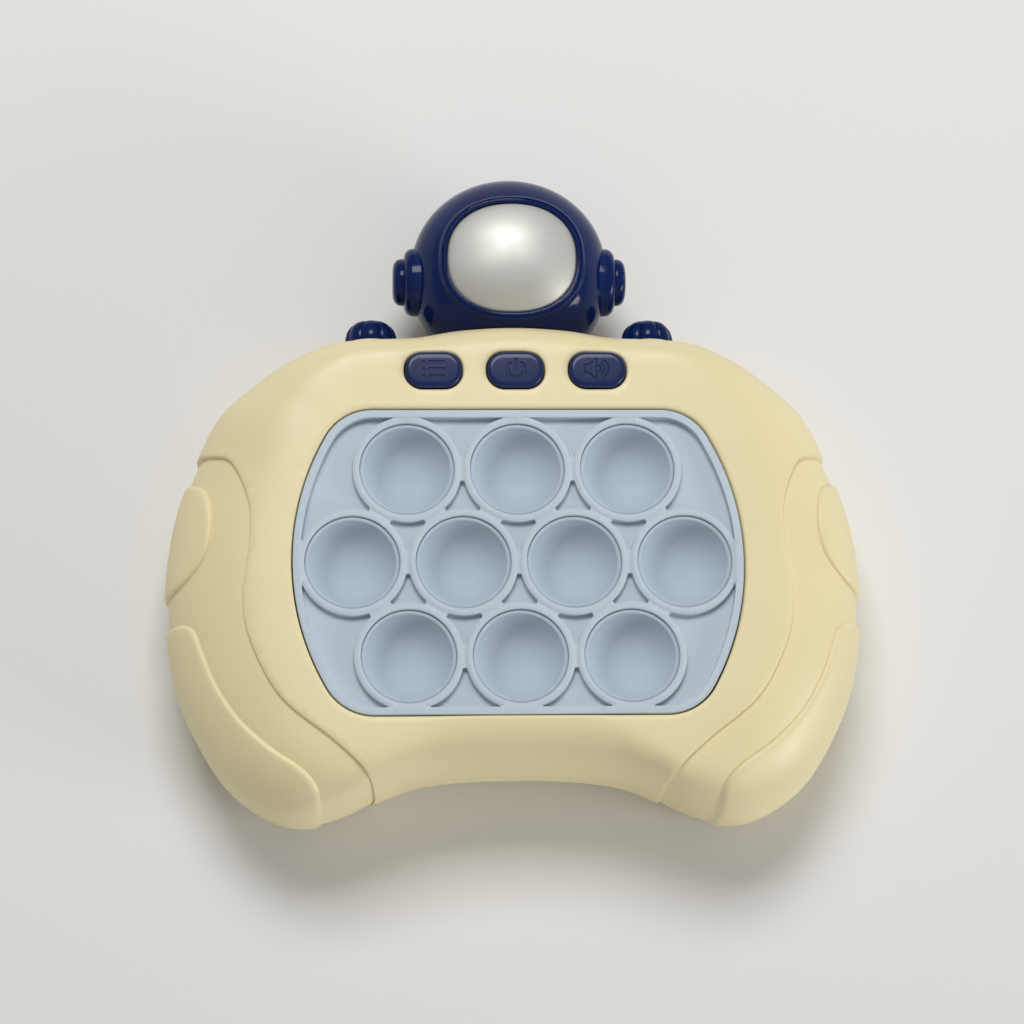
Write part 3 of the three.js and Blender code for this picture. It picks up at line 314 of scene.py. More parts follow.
# Finishes: name, colour, roughness, scale and depth of the grain, and other values
GLOSS = {"Coat_Weight": 0.22, "Coat_Roughness": 0.06, "Specular_IOR_Level": 0.06}
SATIN = {"Coat_Weight": 0.25, "Coat_Roughness": 0.08, "Specular_IOR_Level": 0.12}
MATT = {"Specular_IOR_Level": 0.2, "blotch": 0.03}
FINISHES = {
    "cream": ("Cream plastic", (0.8, 0.7, 0.415), 0.42, 900, 0.05, {"blotch": 0.025}),
    "navy": ("Navy plastic", (0.003, 0.013, 0.08), 0.16, 700, 0.02, {"worn": (0.02, 0.04, 0.15), **GLOSS}),
    "button": ("Navy satin", (0.009, 0.02, 0.088), 0.3, 700, 0.02, {"worn": (0.03, 0.05, 0.17), **SATIN}),
    "silver": ("Silver coating", (0.64, 0.64, 0.605), 0.54, 1500, 0.03, {"Metallic": 0.62}),
    # The mat and the bubbles are one silicone given two copies: the mat's copy is painted lighter, as
    # painted light on its raised tops, and the bubbles' copy darker, as painted shade in the bowls. Both
    # also darken their creases as painted shade.
    "mat": ("Silicone mat", (0.52, 0.6, 0.675), 0.6, 1100, 0.03, {"dust": 0.15, **MATT}),
    "bubble": ("Silicone bubble", (0.455, 0.535, 0.62), 0.6, 1100, 0.03, {"dust": 0.1, **MATT}),
    "frosted": ("Frosted plastic", (0.8, 0.84, 0.86), 0.5, 900, 0.03, {}),
    "white": ("White plastic", (0.73, 0.73, 0.71), 0.5, 900, 0.03, {}),
    "board": ("Circuit board", (0.015, 0.1, 0.045), 0.4, 500, 0.04, {"worn": (0.5, 0.35, 0.12)}),
    "steel": ("Plated steel", (0.5, 0.5, 0.5), 0.32, 1400, 0.02, {"Metallic": 1}),
    "jacket": ("Cell jacket", (0.09, 0.1, 0.11), 0.35, 800, 0.02, {"worn": (0.5, 0.5, 0.5)}),
    "black": ("Speaker paper", (0.015, 0.015, 0.017), 0.6, 600, 0.06, {}),
    "lead": ("Lead sleeve", (0.39, 0.022, 0.015), 0.45, 900, 0.02, {}),
}
# Finish of the CAD nodes that stay as they are, by how their names start
CAD_FINISHES = {
    "key_tray": "white", "key_": "frosted", "main_board": "board", "board_screw": "steel",
    "cell_contact": "steel", "cell_lead": "lead", "cell_": "jacket",
    "speaker_lead": "lead", "speaker": "black",
}
# Noise: scale, detail and roughness; the scale of the grain is the finish's own
BLOTCHES = (28, 3, 0.55)
SMUDGES = (60, 5, 0.65)
GRAIN = (3, 0.6)
NOISE_MIDDLE = (0.3, 0.7)
LESS_ROUGH = 0.05
MORE_ROUGH = 0.07
BUMP_STRENGTH = 0.35
# Second colours: start and end of the source, first and last share, and tint
GRAIN_SHARE = (0.35, 0.7, 0, 0.12)
GRAIN_TINT = 0.93
WORN_SHARE = (0.52, 0.6, 0, 0.55)
WORN_TINT = 1.12
# Painted shade: concave creases are darkened by this share and tint, standing in for the shade that falls
# in them.
CREVICE_SHADE_SHARE = (0.48, 0.42, 0)
CREVICE_SHADE_TINT = 0.7

# Stage, in metres and watts
FLOOR_HALF = 3
FLOOR_DROP = 0.0002
FLOOR_COLOUR = (0.8, 0.8, 0.79, 1)
ROOM_COLOUR = (1, 0.98, 0.95, 1)
ROOM_STRENGTH = 0.3
LIGHT_AIM = (0, 0, 0.02)
# Lamps: name, place, size, power and spread in degrees
LAMPS = [
    ("North softbox", (-0.08, 0.58, 0.98), (0.6, 0.42), 8.2, 180),
    ("East softbox", (0.9, -0.42, 0.26), (0.5, 0.24), 1.25, 100),
    ("South fill", (-0.15, -0.9, 0.1), (0.6, 0.12), 0.28, 100),
]


# Curves
def catmull(points, steps, closed=False):
    """Smooth curve through the points, with so many steps between each two."""
    p = np.asarray(points, float)
    if closed:
        p = np.vstack([p[-1:], p, p[:2]])
    else:
        p = np.vstack([2 * p[0] - p[1], p, 2 * p[-1] - p[-2]])
    t = np.linspace(0, 1, steps, endpoint=False)[:, None]
    parts = [
        0.5 * (2 * b + (c - a) * t + (2 * a - 5 * b + 4 * c - d) * t**2 + (3 * b - a - 3 * c + d) * t**3)
        for a, b, c, d in zip(p, p[1:], p[2:], p[3:])
    ]
    return np.vstack(parts if closed else [*parts, p[-2:-1]])


def resample(line, gap):
    """Points along an open line, about a gap apart."""
    line = np.asarray(line, float)
    along = np.concatenate([[0], np.cumsum(np.hypot(*np.diff(line, axis=0).T))])
    spots = np.linspace(0, along[-1], max(2, int(along[-1] / gap)) + 1)
    return np.column_stack([np.interp(spots, along, line[:, k]) for k in (0, 1)])


def ray(angles):
    """Unit vectors at these angles."""
    return np.column_stack([np.cos(angles), np.sin(angles)])


def polar(points):
    """Angles and distances from the middle."""
    x, y = points[:, :2].T
    return np.arctan2(y, x), np.hypot(x, y)


def rounded_rectangle(size, corner, steps=10):
    half = np.array(size) / 2 - corner
    parts = []
    for k, side in enumerate(((1, 1), (-1, 1), (-1, -1), (1, -1))):
        parts.append(half * side + corner * ray(np.linspace(k, k + 1, steps) * TURN / 4))
    return np.vstack(parts)


def super_ellipse(half_x, half_y, power, count, grow=0.0, lower_power=None):
    angles = np.arange(count) * TURN / count
    c, s = np.cos(angles), np.sin(angles)
    power = np.where(s < 0, lower_power or power, power)
    reach = (np.abs(c) ** power + np.abs(s) ** power) ** (-1 / power)
    return np.column_stack([c * reach * (half_x + grow), s * reach * (half_y + grow)])


# Fields: distances to an edge, positive inside it
def line_distance(points, line):
    best = np.full(len(points), np.inf)
    for start, end in zip(line[:-1], line[1:]):
        step = end - start
        t = np.clip((points - start) @ step / max(step @ step, TINY), 0, 1)
        best = np.minimum(best, np.hypot(*(points - start - t[:, None] * step).T))
    return best


def inside(points, polygon):
    x, y = points.T
    hit = np.zeros(len(points), bool)
    for (x0, y0), (x1, y1) in zip(polygon, np.roll(polygon, -1, 0)):
        if y0 != y1:
            hit ^= ((y0 > y) != (y1 > y)) & (x < (x1 - x0) * (y - y0) / (y1 - y0) + x0)
    return hit


def disc(points, centre, radius):
    return radius - np.hypot(*(points - centre).T)


def block(points, size, corner=0.0, centre=(0, 0)):
    """Rounded rectangle."""
    gap = np.abs(points - centre) - np.array(size) / 2 + corner
    return corner - np.hypot(*np.maximum(gap, 0).T) - np.minimum(gap.max(1), 0)


def opening(points, grow=0.0):
    """Opening for the bubble mat: two wide side arcs with rounded corners."""
    q = np.abs(points - (0, OPENING_SHIFT))
    side_x = OPENING_X - OPENING_SIDE
    corner_y = OPENING_Y - OPENING_CORNER
    corner_x = side_x + math.sqrt((OPENING_SIDE - OPENING_CORNER) ** 2 - corner_y**2)
    lean = math.atan2(corner_y, corner_x - side_x)
    angle, _ = polar(q - (corner_x, corner_y))
    sides = np.minimum(disc(q, (side_x, 0), OPENING_SIDE), OPENING_Y - q[:, 1])
    corner = disc(q, (corner_x, corner_y), OPENING_CORNER)
    return np.where((angle > lean) & (angle < TURN / 4), corner, sides) + grow


def smooth_max(a, b, soft):
    blend = np.clip(0.5 + (a - b) / (2 * soft), 0, 1)
    return b + (a - b) * blend + soft * blend * (1 - blend)


def profile(distance, shape):
    """Share of a step's height at a distance in from its foot."""
    return np.interp(distance, *zip(*shape))


# Contours
def crossings(values, step):
    """Ends of the grid edges along a step on which the sign changes."""
    up = values > 0
    rows, columns = up.shape
    first = np.argwhere(up[step[0] :, step[1] :] != up[: rows - step[0], : columns - step[1]])
    return tuple(first.T), tuple((first + step).T)


def links(values):
    """Pairs of crossed grid edges that a contour joins; an edge is named by kind and cell."""
    up = values > 0
    flat = np.arange(up.size).reshape(up.shape)
    tall = flat + up.size
    names = np.stack([flat[:-1, :-1], tall[:-1, 1:], flat[1:, :-1], tall[:-1, :-1]], -1)
    corners = np.stack([up[:-1, :-1], up[:-1, 1:], up[1:, 1:], up[1:, :-1]], -1)
    crossed = corners != np.roll(corners, -1, -1)
    pairs = [tuple(names[j, i][crossed[j, i]]) for j, i in np.argwhere(crossed.sum(-1) == 2)]
    for j, i in np.argwhere(crossed.sum(-1) == 4):
        bottom, right, top, left = names[j, i]
        level = (values[j : j + 2, i : i + 2].mean() > 0) == up[j, i]
        pairs += [(bottom, right), (top, left)] if level else [(bottom, left), (top, right)]
    return pairs


def chains(pairs):
    """Joins pairs into runs; a run that ends where it starts is closed."""
    near = {}
    for a, b in pairs:
        near.setdefault(a, []).append(b)
        near.setdefault(b, []).append(a)
    seen, runs = set(), []
    for first in sorted(near, key=lambda name: len(near[name])):
        if first in seen:
            continue
        run, ahead = [], [first]
        while ahead:
            run.append(ahead[0])
            seen.add(ahead[0])
            ahead = [name for name in near[run[-1]] if name not in seen]
        if len(run) > 2 and first in near[run[-1]]:
            run.append(first)
        runs.append(run)
    return runs


def contour(field, grid, values, level, gap):
    """Lines on which a field takes this level, as runs of points about a gap apart."""
    shifted = values - level
    shifted[shifted == 0] = TINY
    spots = {}
    for kind, step in enumerate(((0, 1), (1, 0))):
        start, end = crossings(shifted, step)
        a, b = shifted[start], shifted[end]
        points = grid[start] + (grid[end] - grid[start]) * (a / (a - b))[:, None]
        names = start[0] * shifted.shape[1] + start[1] + kind * shifted.size
        spots.update(zip(names.tolist(), points))
    lines = []
    for run in chains(links(shifted)):
        line = np.array([spots[int(name)] for name in run])
        if len(line) < 4:
            continue
        line = resample(line, gap)
        for _ in range(2):
            line = line - to_level(field, line, level)
        if run[0] == run[-1]:
            line[-1] = line[0]
        lines.append(line)
    return lines


def to_level(field, points, level, step=0.01, least=0.2):
    """The move from the nearest place at which the field takes this level."""
    here = field(points)
    slope = np.column_stack([field(points + (step, 0)) - here, field(points + (0, step)) - here]) / step
    steep = np.maximum((slope**2).sum(1), least)
    return slope * ((here - level) / steep)[:, None]


def hex_grid(size, centre, pitch):
    rows = np.arange(-size[1] / 2, size[1] / 2 + pitch, pitch * HEX_ROW)
    columns = np.arange(-size[0] / 2, size[0] / 2 + pitch, pitch)
    return np.array([(x + (k % 2) * pitch / 2, y) for k, y in enumerate(rows) for x in columns]) + centre


def relief(edge, features, size, centre, mesh):
    """Triangles over the inside of an edge, cut along the contours of its features.

    A feature is a field with the levels at which the mesh needs an edge.
    """
    fine, gap, pitch = mesh
    x, y = (np.arange(-s / 2 - 2 * fine, s / 2 + 2 * fine, fine) + c for s, c in zip(size, centre))
    grid = np.stack(np.meshgrid(x, y), -1)
    flat = grid.reshape(-1, 2)
    lines = []
    fill = hex_grid(size, centre, pitch)
    fill = fill[edge(fill) > CLEAR_SHARE * pitch]
    for field, levels in [(edge, (0,)), *features]:
        values = field(flat).reshape(grid.shape[:2])
        near = field(fill)
        clear = np.ones(len(fill), bool)
        for level in levels:
            lines += contour(field, grid, values, level, gap)
            clear &= np.abs(near - level) > CLEAR_SHARE * min(pitch, 2 * gap)
        fill = fill[clear]
    points, sides = list(fill), []
    for line in lines:
        base = len(points)
        closed = np.allclose(line[0], line[-1])
        points.extend(line[:-1] if closed else line)
        count = len(points) - base
        sides += [(base + k, base + (k + 1) % count) for k in range(count if closed else count - 1)]
    spots, _, faces, _, _, _ = delaunay_2d_cdt([Vector(p) for p in points], sides, [], 0, SAME_PLACE)
    spots = np.array([tuple(p) for p in spots])
    faces = np.array([face for face in faces if len(face) == 3])
    faces = faces[edge(spots[faces].mean(1)) > 0]
    used, fresh = np.unique(faces, return_inverse=True)
    return spots[used], fresh.reshape(-1, 3)


# Meshes
def assign(piece, body):
    """Puts a piece on its body, in place of the CAD node of the same name."""
    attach(piece, body)
    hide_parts(piece.name.lower())


def add_object(name, data):
    piece = bpy.data.objects.new(name, data)
    bpy.context.scene.collection.objects.link(piece)
    return piece


def make(name, parts, material, crease=CREASE):
    """Object of (vertices, faces) parts, with smooth faces and sharp edges past the crease angle."""
    verts, faces = [], []
    for part_verts, part_faces in parts:
        base = len(verts)
        verts.extend([(x * MM, (y + PANEL_Y) * MM, z * MM) for x, y, z in part_verts])
        faces.extend([tuple(i + base for i in face) for face in part_faces])
    mesh = bpy.data.meshes.new(name)
    mesh.from_pydata(verts, [], faces)
    work = bmesh.new()
    work.from_mesh(mesh)
    bmesh.ops.remove_doubles(work, verts=work.verts, dist=MERGE_LENGTH)
    bmesh.ops.dissolve_degenerate(work, edges=work.edges, dist=SAME_PLACE)
    bmesh.ops.recalc_face_normals(work, faces=work.faces)
    for face in work.faces:
        face.smooth = True
    work.to_mesh(mesh)
    work.free()
    mesh.set_sharp_from_angle(angle=math.radians(crease))
    mesh.materials.append(material)
    return add_object(name, mesh)


def grid_faces(rows, columns, closed=True, around=False):
    """Faces of a grid that may close along its rows, and around from its last row to its first."""
    faces = []
    for k in range(rows if around else rows - 1):
        here, ahead = k * columns, (k + 1) % rows * columns
        for i in range(columns if closed else columns - 1):
            j = (i + 1) % columns
            faces.append((here + i, here + j, ahead + j, ahead + i))
    return faces


def upright(x, y):
    """Places a turned section round an upright axis."""
    return lambda r, a, h: (x + r * math.cos(a), y + r * math.sin(a), h)


def lathe(section, steps, place):
    """Turned solid; the section is a list of (radius, height) from axis to axis."""
    inner = section[1:-1]
    verts = [place(r, k * TURN / steps, h) for r, h in inner for k in range(steps)]
    faces = grid_faces(len(inner), steps)
    first, last = len(verts), len(verts) + 1
    verts += [place(0, 0, section[0][1]), place(0, 0, section[-1][1])]
    top = (len(inner) - 1) * steps
    for i in range(steps):
        j = (i + 1) % steps
        faces += [(first, j, i), (last, top + i, top + j)]
    return verts, faces


def tube(outer, inner, z0, z1):
    """Ring-shaped plate between two outlines with the same number of points."""
    rings = [(outer, z0), (outer, z1), (inner, z1), (inner, z0)]
    verts = [(x, y, z) for loop, z in rings for x, y in loop]
    return verts, grid_faces(4, len(outer), around=True)


def plate(outline, z0, z1, bevel=0.0):
    """Flat plate with softened edges."""
    outline = np.asarray(outline)
    middle = outline.mean(0)
    inward = middle + (outline - middle) * (1 - bevel / np.abs(outline - middle).max())
    rings = [(inward, z0), (outline, z0 + bevel), (outline, z1 - bevel), (inward, z1)]
    verts = [(x, y, z) for loop, z in rings for x, y in loop]
    count = len(outline)
    faces = grid_faces(4, count)
    faces.append(tuple(range(count))[::-1])
    faces.append(tuple(range(3 * count, 4 * count)))
    return verts, faces


def box_outline(x0, x1, y0, y1):
    return [(x0, y0), (x1, y0), (x1, y1), (x0, y1)]


def polar_loop(outline, centre, count):
    """The outline's points at evenly spaced angles about a centre."""
    angles, away = polar(resample(np.vstack([outline, outline[:1]]) - centre, LOOP_PITCH))
    spots = (np.arange(count) + 0.5) * TURN / count - TURN / 2
    return ray(spots) * np.interp(spots, angles, away, period=TURN)[:, None] + centre


def relief_plate(edge, features, size, centre, mesh, surface, back):
    """Closed plate with a shaped side and a plain back."""
    spots, faces = relief(edge, features, size, centre, mesh)
    backs = np.full(len(spots), back)
    return close_skin(np.column_stack([spots, surface(spots)]), np.column_stack([spots, backs]), faces)


def close_skin(outer, inner, faces):
    """Joins two skins with the same faces along their free edges."""
    count = len(outer)
    edges = np.vstack([faces[:, [0, 1]], faces[:, [1, 2]], faces[:, [2, 0]]])
    keys = np.sort(edges, axis=1)
    _, where, counts = np.unique(keys, axis=0, return_index=True, return_counts=True)
    free = edges[where[counts == 1]]
    walls = np.column_stack([free[:, 1], free[:, 0], free[:, 0] + count, free[:, 1] + count])
    all_faces = [*faces.tolist(), *(faces[:, ::-1] + count).tolist(), *walls.tolist()]
    return np.vstack([outer, inner]).tolist(), all_faces


# Case form
RIGHT_HALF = np.array(OUTLINE) * (CASE_WIDTH / 2, CASE_LENGTH, SIDE_RUN)
FULL_OUTLINE = np.vstack([RIGHT_HALF, RIGHT_HALF[-2:0:-1] * (-1, 1, 1)])[::-1]
RIM_LINE = catmull(FULL_OUTLINE, RIM_STEPS, closed=True)
RIM_ANGLES, RIM_REACH = polar(RIM_LINE)


def rim(theta, front):
    """Reach of the case at the parting line, and the shoulder's run there."""
    tables = (RIM_REACH, RIM_LINE[:, 2])
    reach, run = (np.interp(theta, RIM_ANGLES, table, period=TURN) for table in tables)
    return reach, run if front else np.full_like(theta, REAR_RUN)


def rise(front):
    return CASE_THICKNESS - PARTING if front else PARTING


def shell_places(theta, past, turn, front, grow=0.0):
    """Places on the case form, at a distance past the shoulder's start and a turn up from the parting."""
    reach, run = rim(theta, front)
    radius = reach + grow - run + past
    up = (rise(front) + grow) * np.sin(turn)
    return np.column_stack([ray(theta) * radius[:, None], PARTING + (up if front else -up)])


def unfold(plane, front):
    """Places on the case form for places on a plane that its shoulder is rolled out on."""
    theta, away = polar(plane)
    reach, run = rim(theta, front)
    out = away - (reach - run)
    past = np.where(out > 0, run * np.sin(np.clip(out / roll(run, front), 0, TURN / 4)), out)
    turn = np.arccos(np.clip(soften(past, np.minimum(SOFT_SHARE * run, SOFT_MOST)) / run, 0, 1))
    return shell_places(theta, past, turn, front), shell_inward(theta, turn, front)


def soften(past, width):
    """Nought before -width and the same after width, with an even curve between."""
    return np.where(past > width, past, np.maximum(past + width, 0) ** 2 / (4 * width))


def roll(run, front):
    """Length on the plane that stands for one radian of the shoulder."""
    return (run + rise(front)) / 2


def shell_inward(theta, turn, front):
    """Unit vectors from the case form towards its inside."""
    _, run = rim(theta, front)
    out, up = rise(front) * np.cos(turn), run * np.sin(turn)
    size = np.hypot(out, up)
    out, up = out / size, up / size
    return -np.column_stack([ray(theta) * out[:, None], up if front else -up])


def parting_edge(plane, front):
    """Distance in from the parting line on that plane."""
    theta, away = polar(plane)
    reach, run = rim(theta, front)
    return reach - run + roll(run, front) * (TURN / 4 - SEAM / rise(front)) - away


def region_lines():
    scale = (CASE_WIDTH / 2, CASE_LENGTH)
    far = CASE_WIDTH
    panel, knuckle, lower = (
        catmull(np.array(edge) * scale, LINE_STEPS) for edge in (PANEL_EDGE, KNUCKLE_EDGE, LOWER_EDGE)
    )
    above = [(-far, far), (far, far), (far, panel[0][1])]
    panel_area = np.vstack([above, panel, [(panel[-1][0], -far), (-far, -far)]])
    lower_area = np.vstack([lower, [(lower[-1][0], -far), (far, -far), (far, lower[0][1])]])
    return (panel, knuckle, lower), (panel_area, knuckle, lower_area)


LINES, AREAS = region_lines()
PANEL, PADS = (0,), (1, 2)


def raised(points, kinds):
    """Distance to the edge of the raised areas of these kinds, positive on them."""
    right = points.copy()
    right[:, 0] = np.abs(right[:, 0])
    best = np.full(len(points), -np.inf)
    for kind in kinds:
        away = line_distance(right, LINES[kind])
        best = np.maximum(best, np.where(inside(right, AREAS[kind]), away, -away))
    return best


def levels(shape):
    return tuple(distance for distance, _ in shape)


def cover_skin(front, hole, mesh):
    """Closed shell of one cover, with holes and raised areas."""

    def edge(plane):
        places, _ = unfold(plane, front)
        return np.minimum(parting_edge(plane, front), -hole(places[:, :2]))

    def area(kinds):
        return lambda plane: raised(unfold(plane, front)[0][:, :2], kinds)

    panel, pads = area(PANEL), area(PADS)
    features = [(panel, levels(PANEL_STEP)), (pads, levels(PAD_STEP)), (edge, levels(EDGE_STEP)[1:])]
    grow = ROLL_ROOM * rise(front)
    size = (CASE_WIDTH + grow, CASE_LENGTH + grow)
    spots, faces = relief(edge, features, size, (0, 0), mesh)
    places, inward = unfold(spots, front)
    lift = np.maximum(profile(panel(spots), PANEL_STEP), profile(pads(spots), PAD_STEP))
    sunk = GRIP_STEP * (1 - lift) + EDGE_ROUND * (1 - profile(edge(spots), EDGE_STEP))
    outer = places + inward * sunk[:, None]
    inner = places + inward * (GRIP_STEP + COVER_WALL)
    return close_skin(outer, inner, faces)


def dial_collar(side, front):
    """Half of the round collar that a dial sits on."""
    sign = 1 if front else -1
    verts = [
        (side * DIAL_X + r * math.cos(a), DIAL_EDGE_Y + y, PARTING + sign * (SEAM + r * math.sin(a)))
        for r, y in COLLAR
        for a in np.linspace(0, TURN / 2, COLLAR_STEPS)
    ]
    rows = len(COLLAR)
    faces = grid_faces(rows, COLLAR_STEPS, closed=False, around=True)
    faces += [tuple(k * COLLAR_STEPS + i for k in range(rows)) for i in (0, COLLAR_STEPS - 1)]
    return verts, faces


def front_cover(material):
    def hole(points):
        buttons = [block(points, BUTTON_SIZE, BUTTON_CORNER, (x, BUTTON_Y)) for x in BUTTON_PLACES]
        return np.max([opening(points), *buttons], axis=0)

    parts = [cover_skin(True, hole, FRONT_MESH), *(dial_collar(side, True) for side in (-1, 1))]
    assign(make("Front_cover", parts, material), "case")


def door(points, grow=0.0):
    """The battery door's plate with its tongue."""
    plate_area = block(points, DOOR_SIZE, DOOR_CORNER, (0, DOOR_Y))
    tongue = block(points, (TONGUE[0], 2 * TONGUE[1]), TONGUE_CORNER, (0, DOOR_Y + DOOR_SIZE[1] / 2))
    return np.maximum(plate_area, tongue) + grow


def cup(x, y, wall, z0, z1, floor):
    """Round tube from z0 to z1 round a screw well, closed by a floor at the z1 end."""
    inner, outer = WELL_RADIUS, WELL_RADIUS + wall
    section = [(0, z1 + floor), (outer, z1 + floor), (outer, z0), (inner, z0), (inner, z1), (0, z1)]
    return lathe(section, ROUND_STEPS, upright(x, y))


def rear_cover(material):
    slots = [SPEAKER_Y + k * GRILLE_PITCH for k in GRILLE_ROWS]
    lengths = [2 * math.sqrt(GRILLE_RADIUS**2 - (y - SPEAKER_Y) ** 2) for y in slots]

    def hole(points):
        grille = [
            block(points, (length, SLOT_WIDTH), SLOT_WIDTH / 2, (0, y)) for length, y in zip(lengths, slots)
        ]
        wells = [disc(points, place, WELL_RADIUS) for place in CASE_SCREWS]
        return np.max([door(points, FIT), *wells, *grille], axis=0)

    middle = (0, DOOR_Y)
    ledge = rounded_rectangle(np.array(DOOR_SIZE) + 2 * LEDGE_WIDTH, DOOR_CORNER) + middle
    bay = rounded_rectangle(BAY_SIZE, BAY_CORNER) + middle
    wall = rounded_rectangle(np.array(BAY_SIZE) + 2 * BAY_WALL, BAY_CORNER + BAY_WALL) + middle
    rings = [super_ellipse(r, r, 2, SPEAKER_RING_STEPS) + (0, SPEAKER_Y) for r in SPEAKER_RING]
    parts = [
        cover_skin(False, hole, REAR_MESH),
        tube(ledge, bay, DOOR_IN + FIT, LEDGE_TOP),
        tube(wall, bay, BAY_START, BAY_TOP),
        plate(wall, BAY_TOP, BAY_TOP + BAY_ROOF),
        tube(*rings, *SPEAKER_RING_HEIGHTS),
    ]
    parts += [cup(x, y, *CASE_WELL) for x, y in CASE_SCREWS]
    parts += [dial_collar(side, False) for side in (-1, 1)]
    assign(make("Rear_cover", parts, material), "case")


# Bubble panel
def bubble_places():
    row_pitch = PITCH * math.sin(math.pi / 3)
    return [
        ((i - (count - 1) / 2) * PITCH, (1 - row) * row_pitch)
        for row, count in enumerate(ROW_COUNTS)
        for i in range(count)
    ]


def bubble_mat(material):
    places = np.array(bubble_places())
    near = NEIGHBOUR_SHARE * PITCH
    pairs = [(a, b) for i, a in enumerate(places) for b in places[i + 1 :] if np.hypot(*(a - b)) < near]

    def web(points, a, b):
        middle, along = (a + b) / 2, (b - a) / PITCH
        rel = points - middle
        turned = np.column_stack([rel @ along, rel @ (-along[1], along[0])])
        return block(turned, (WEB_LENGTH, WEB_WIDTH))

    def discs(points, radius):
        return np.max([disc(points, place, radius) for place in places], axis=0)

    def rings(points):
        return discs(points, RING_OUTER)

    def rim_strip(points):
        return RIM_WIDTH + FIT - opening(points)

    def walls(points):
        joints = np.max([web(points, a, b) for a, b in pairs], axis=0)
        return smooth_max(smooth_max(rings(points), joints, WEB_BLEND), rim_strip(points), RIM_BLEND)

    def edge(points):
        return np.minimum(opening(points, -MAT_GAP), -discs(points, RING_HOLE))

    def surface(points):
        web_top = RING_TOP - RING_CROWN
        top = web_top + (RIM_TOP - web_top) * profile(rim_strip(points), MAT_RIM_STEP)
        top = np.maximum(top, web_top + RING_CROWN * profile(rings(points), MAT_CROWN_STEP))
        z = MAT_FLOOR + (top - MAT_FLOOR) * profile(walls(points), MAT_WALL_STEP)
        return z - MAT_ROUND * (1 - profile(edge(points), MAT_EDGE_STEP))

    features = [
        (walls, levels(MAT_WALL_STEP)),
        (rings, levels(MAT_CROWN_STEP)),
        (rim_strip, levels(MAT_RIM_STEP)),
        (edge, levels(MAT_EDGE_STEP)[1:]),
    ]
    size = (2 * OPENING_X, 2 * OPENING_Y)
    part = relief_plate(edge, features, size, (0, 0), MAT_MESH, surface, MAT_BOTTOM)
    assign(make("Bubble_mat", [part], material, FINE_CREASE), "case")


def bubble(number, x, y, material):
    radius = RING_HOLE - BUBBLE_GAP
    start, deep = LIP_TOP - BOWL_START, BOWL_DEPTH - BOWL_START
    shares = np.linspace(0, 1, BOWL_ROWS) ** ROW_POWER
    bowl = [(BOWL_RADIUS * t, start - deep * (1 - t**BOWL_POWER)) for t in shares]
    under = [(r * UNDER_SPREAD, z - BOWL_WALL * UNDER_DROP) for r, z in bowl[::3]]
    lip = [(radius - inward, LIP_TOP + up) for inward, up in LIP]
    part = lathe(under + lip + bowl[::-1], BUBBLE_STEPS, upright(x, y))
    name = f"{number:02d}"
    piece = make("Bubble_" + name, [part], material, ROUND_CREASE)
    assign(piece, "pad_" + name)


# Function buttons
def arc_line(x, y, radius, start, end, steps):
    return ray(np.radians(np.linspace(start, end, steps))) * radius + (x, y)


def icons():
    """Lines of the symbols for a list, power and loudness."""
    bars = [np.array([(start, y), (end, y)]) for y in LIST_ROWS for start, end in LIST_BARS]
    ring = arc_line(0, POWER_Y, POWER_RADIUS, *POWER_SWEEP, POWER_STEPS)
    waves = [arc_line(CONE_FRONT, 0, r, *SOUND_SWEEP, SOUND_STEPS) for r in SOUND_RADII]
    return bars, [ring, np.array([(0, POWER_Y), (0, POWER_BAR_TOP)])], [np.array(CONE), *waves]


def function_button(kind, x, icon, stroke_width, material):
    lines = [line + (x, BUTTON_Y) for line in icon]
    size = np.array(BUTTON_SIZE) - 2 * FIT

    def edge(points):
        return block(points, size, BUTTON_CORNER - FIT, (x, BUTTON_Y))

    def stroke(points):
        return stroke_width / 2 - np.min([line_distance(points, line) for line in lines], axis=0)

    def surface(points):
        bulge = (((points - (x, BUTTON_Y)) / size * 2) ** 2).sum(1)
        top = BUTTON_TOP - BUTTON_DROP * (1 - profile(edge(points), BUTTON_STEP)) - BUTTON_BULGE * bulge
        return top - ICON_DEPTH * profile(stroke(points), ICON_STEP)

    features = [(edge, levels(BUTTON_STEP)[1:]), (stroke, levels(ICON_STEP))]
    part = relief_plate(edge, features, size, (x, BUTTON_Y), BUTTON_MESH, surface, BUTTON_BOTTOM)
    piece = make(kind + "_button", [part], material, FINE_CREASE)
    assign(piece, piece.name.lower())


# Helmet
def helmet_height(points, grow=0.0, front=True):
    rel = points - HELMET_CENTRE[:2]
    power = np.where(rel[:, 1] < 0, CHIN_POWER, CROWN_POWER)
    x, y = np.abs(rel[:, 0]) / (HELMET_X + grow), np.abs(rel[:, 1]) / (HELMET_Y + grow)
    share = (x**power + y**power) ** (1 / power)
    up = (HELMET_Z + grow) * np.sqrt(np.clip(1 - share**2, 0, 1))
    return HELMET_CENTRE[2] + (up if front else -up)


def helmet_outline(count, grow=0.0):
    return super_ellipse(HELMET_X, HELMET_Y, CROWN_POWER, count, grow, CHIN_POWER) + HELMET_CENTRE[:2]


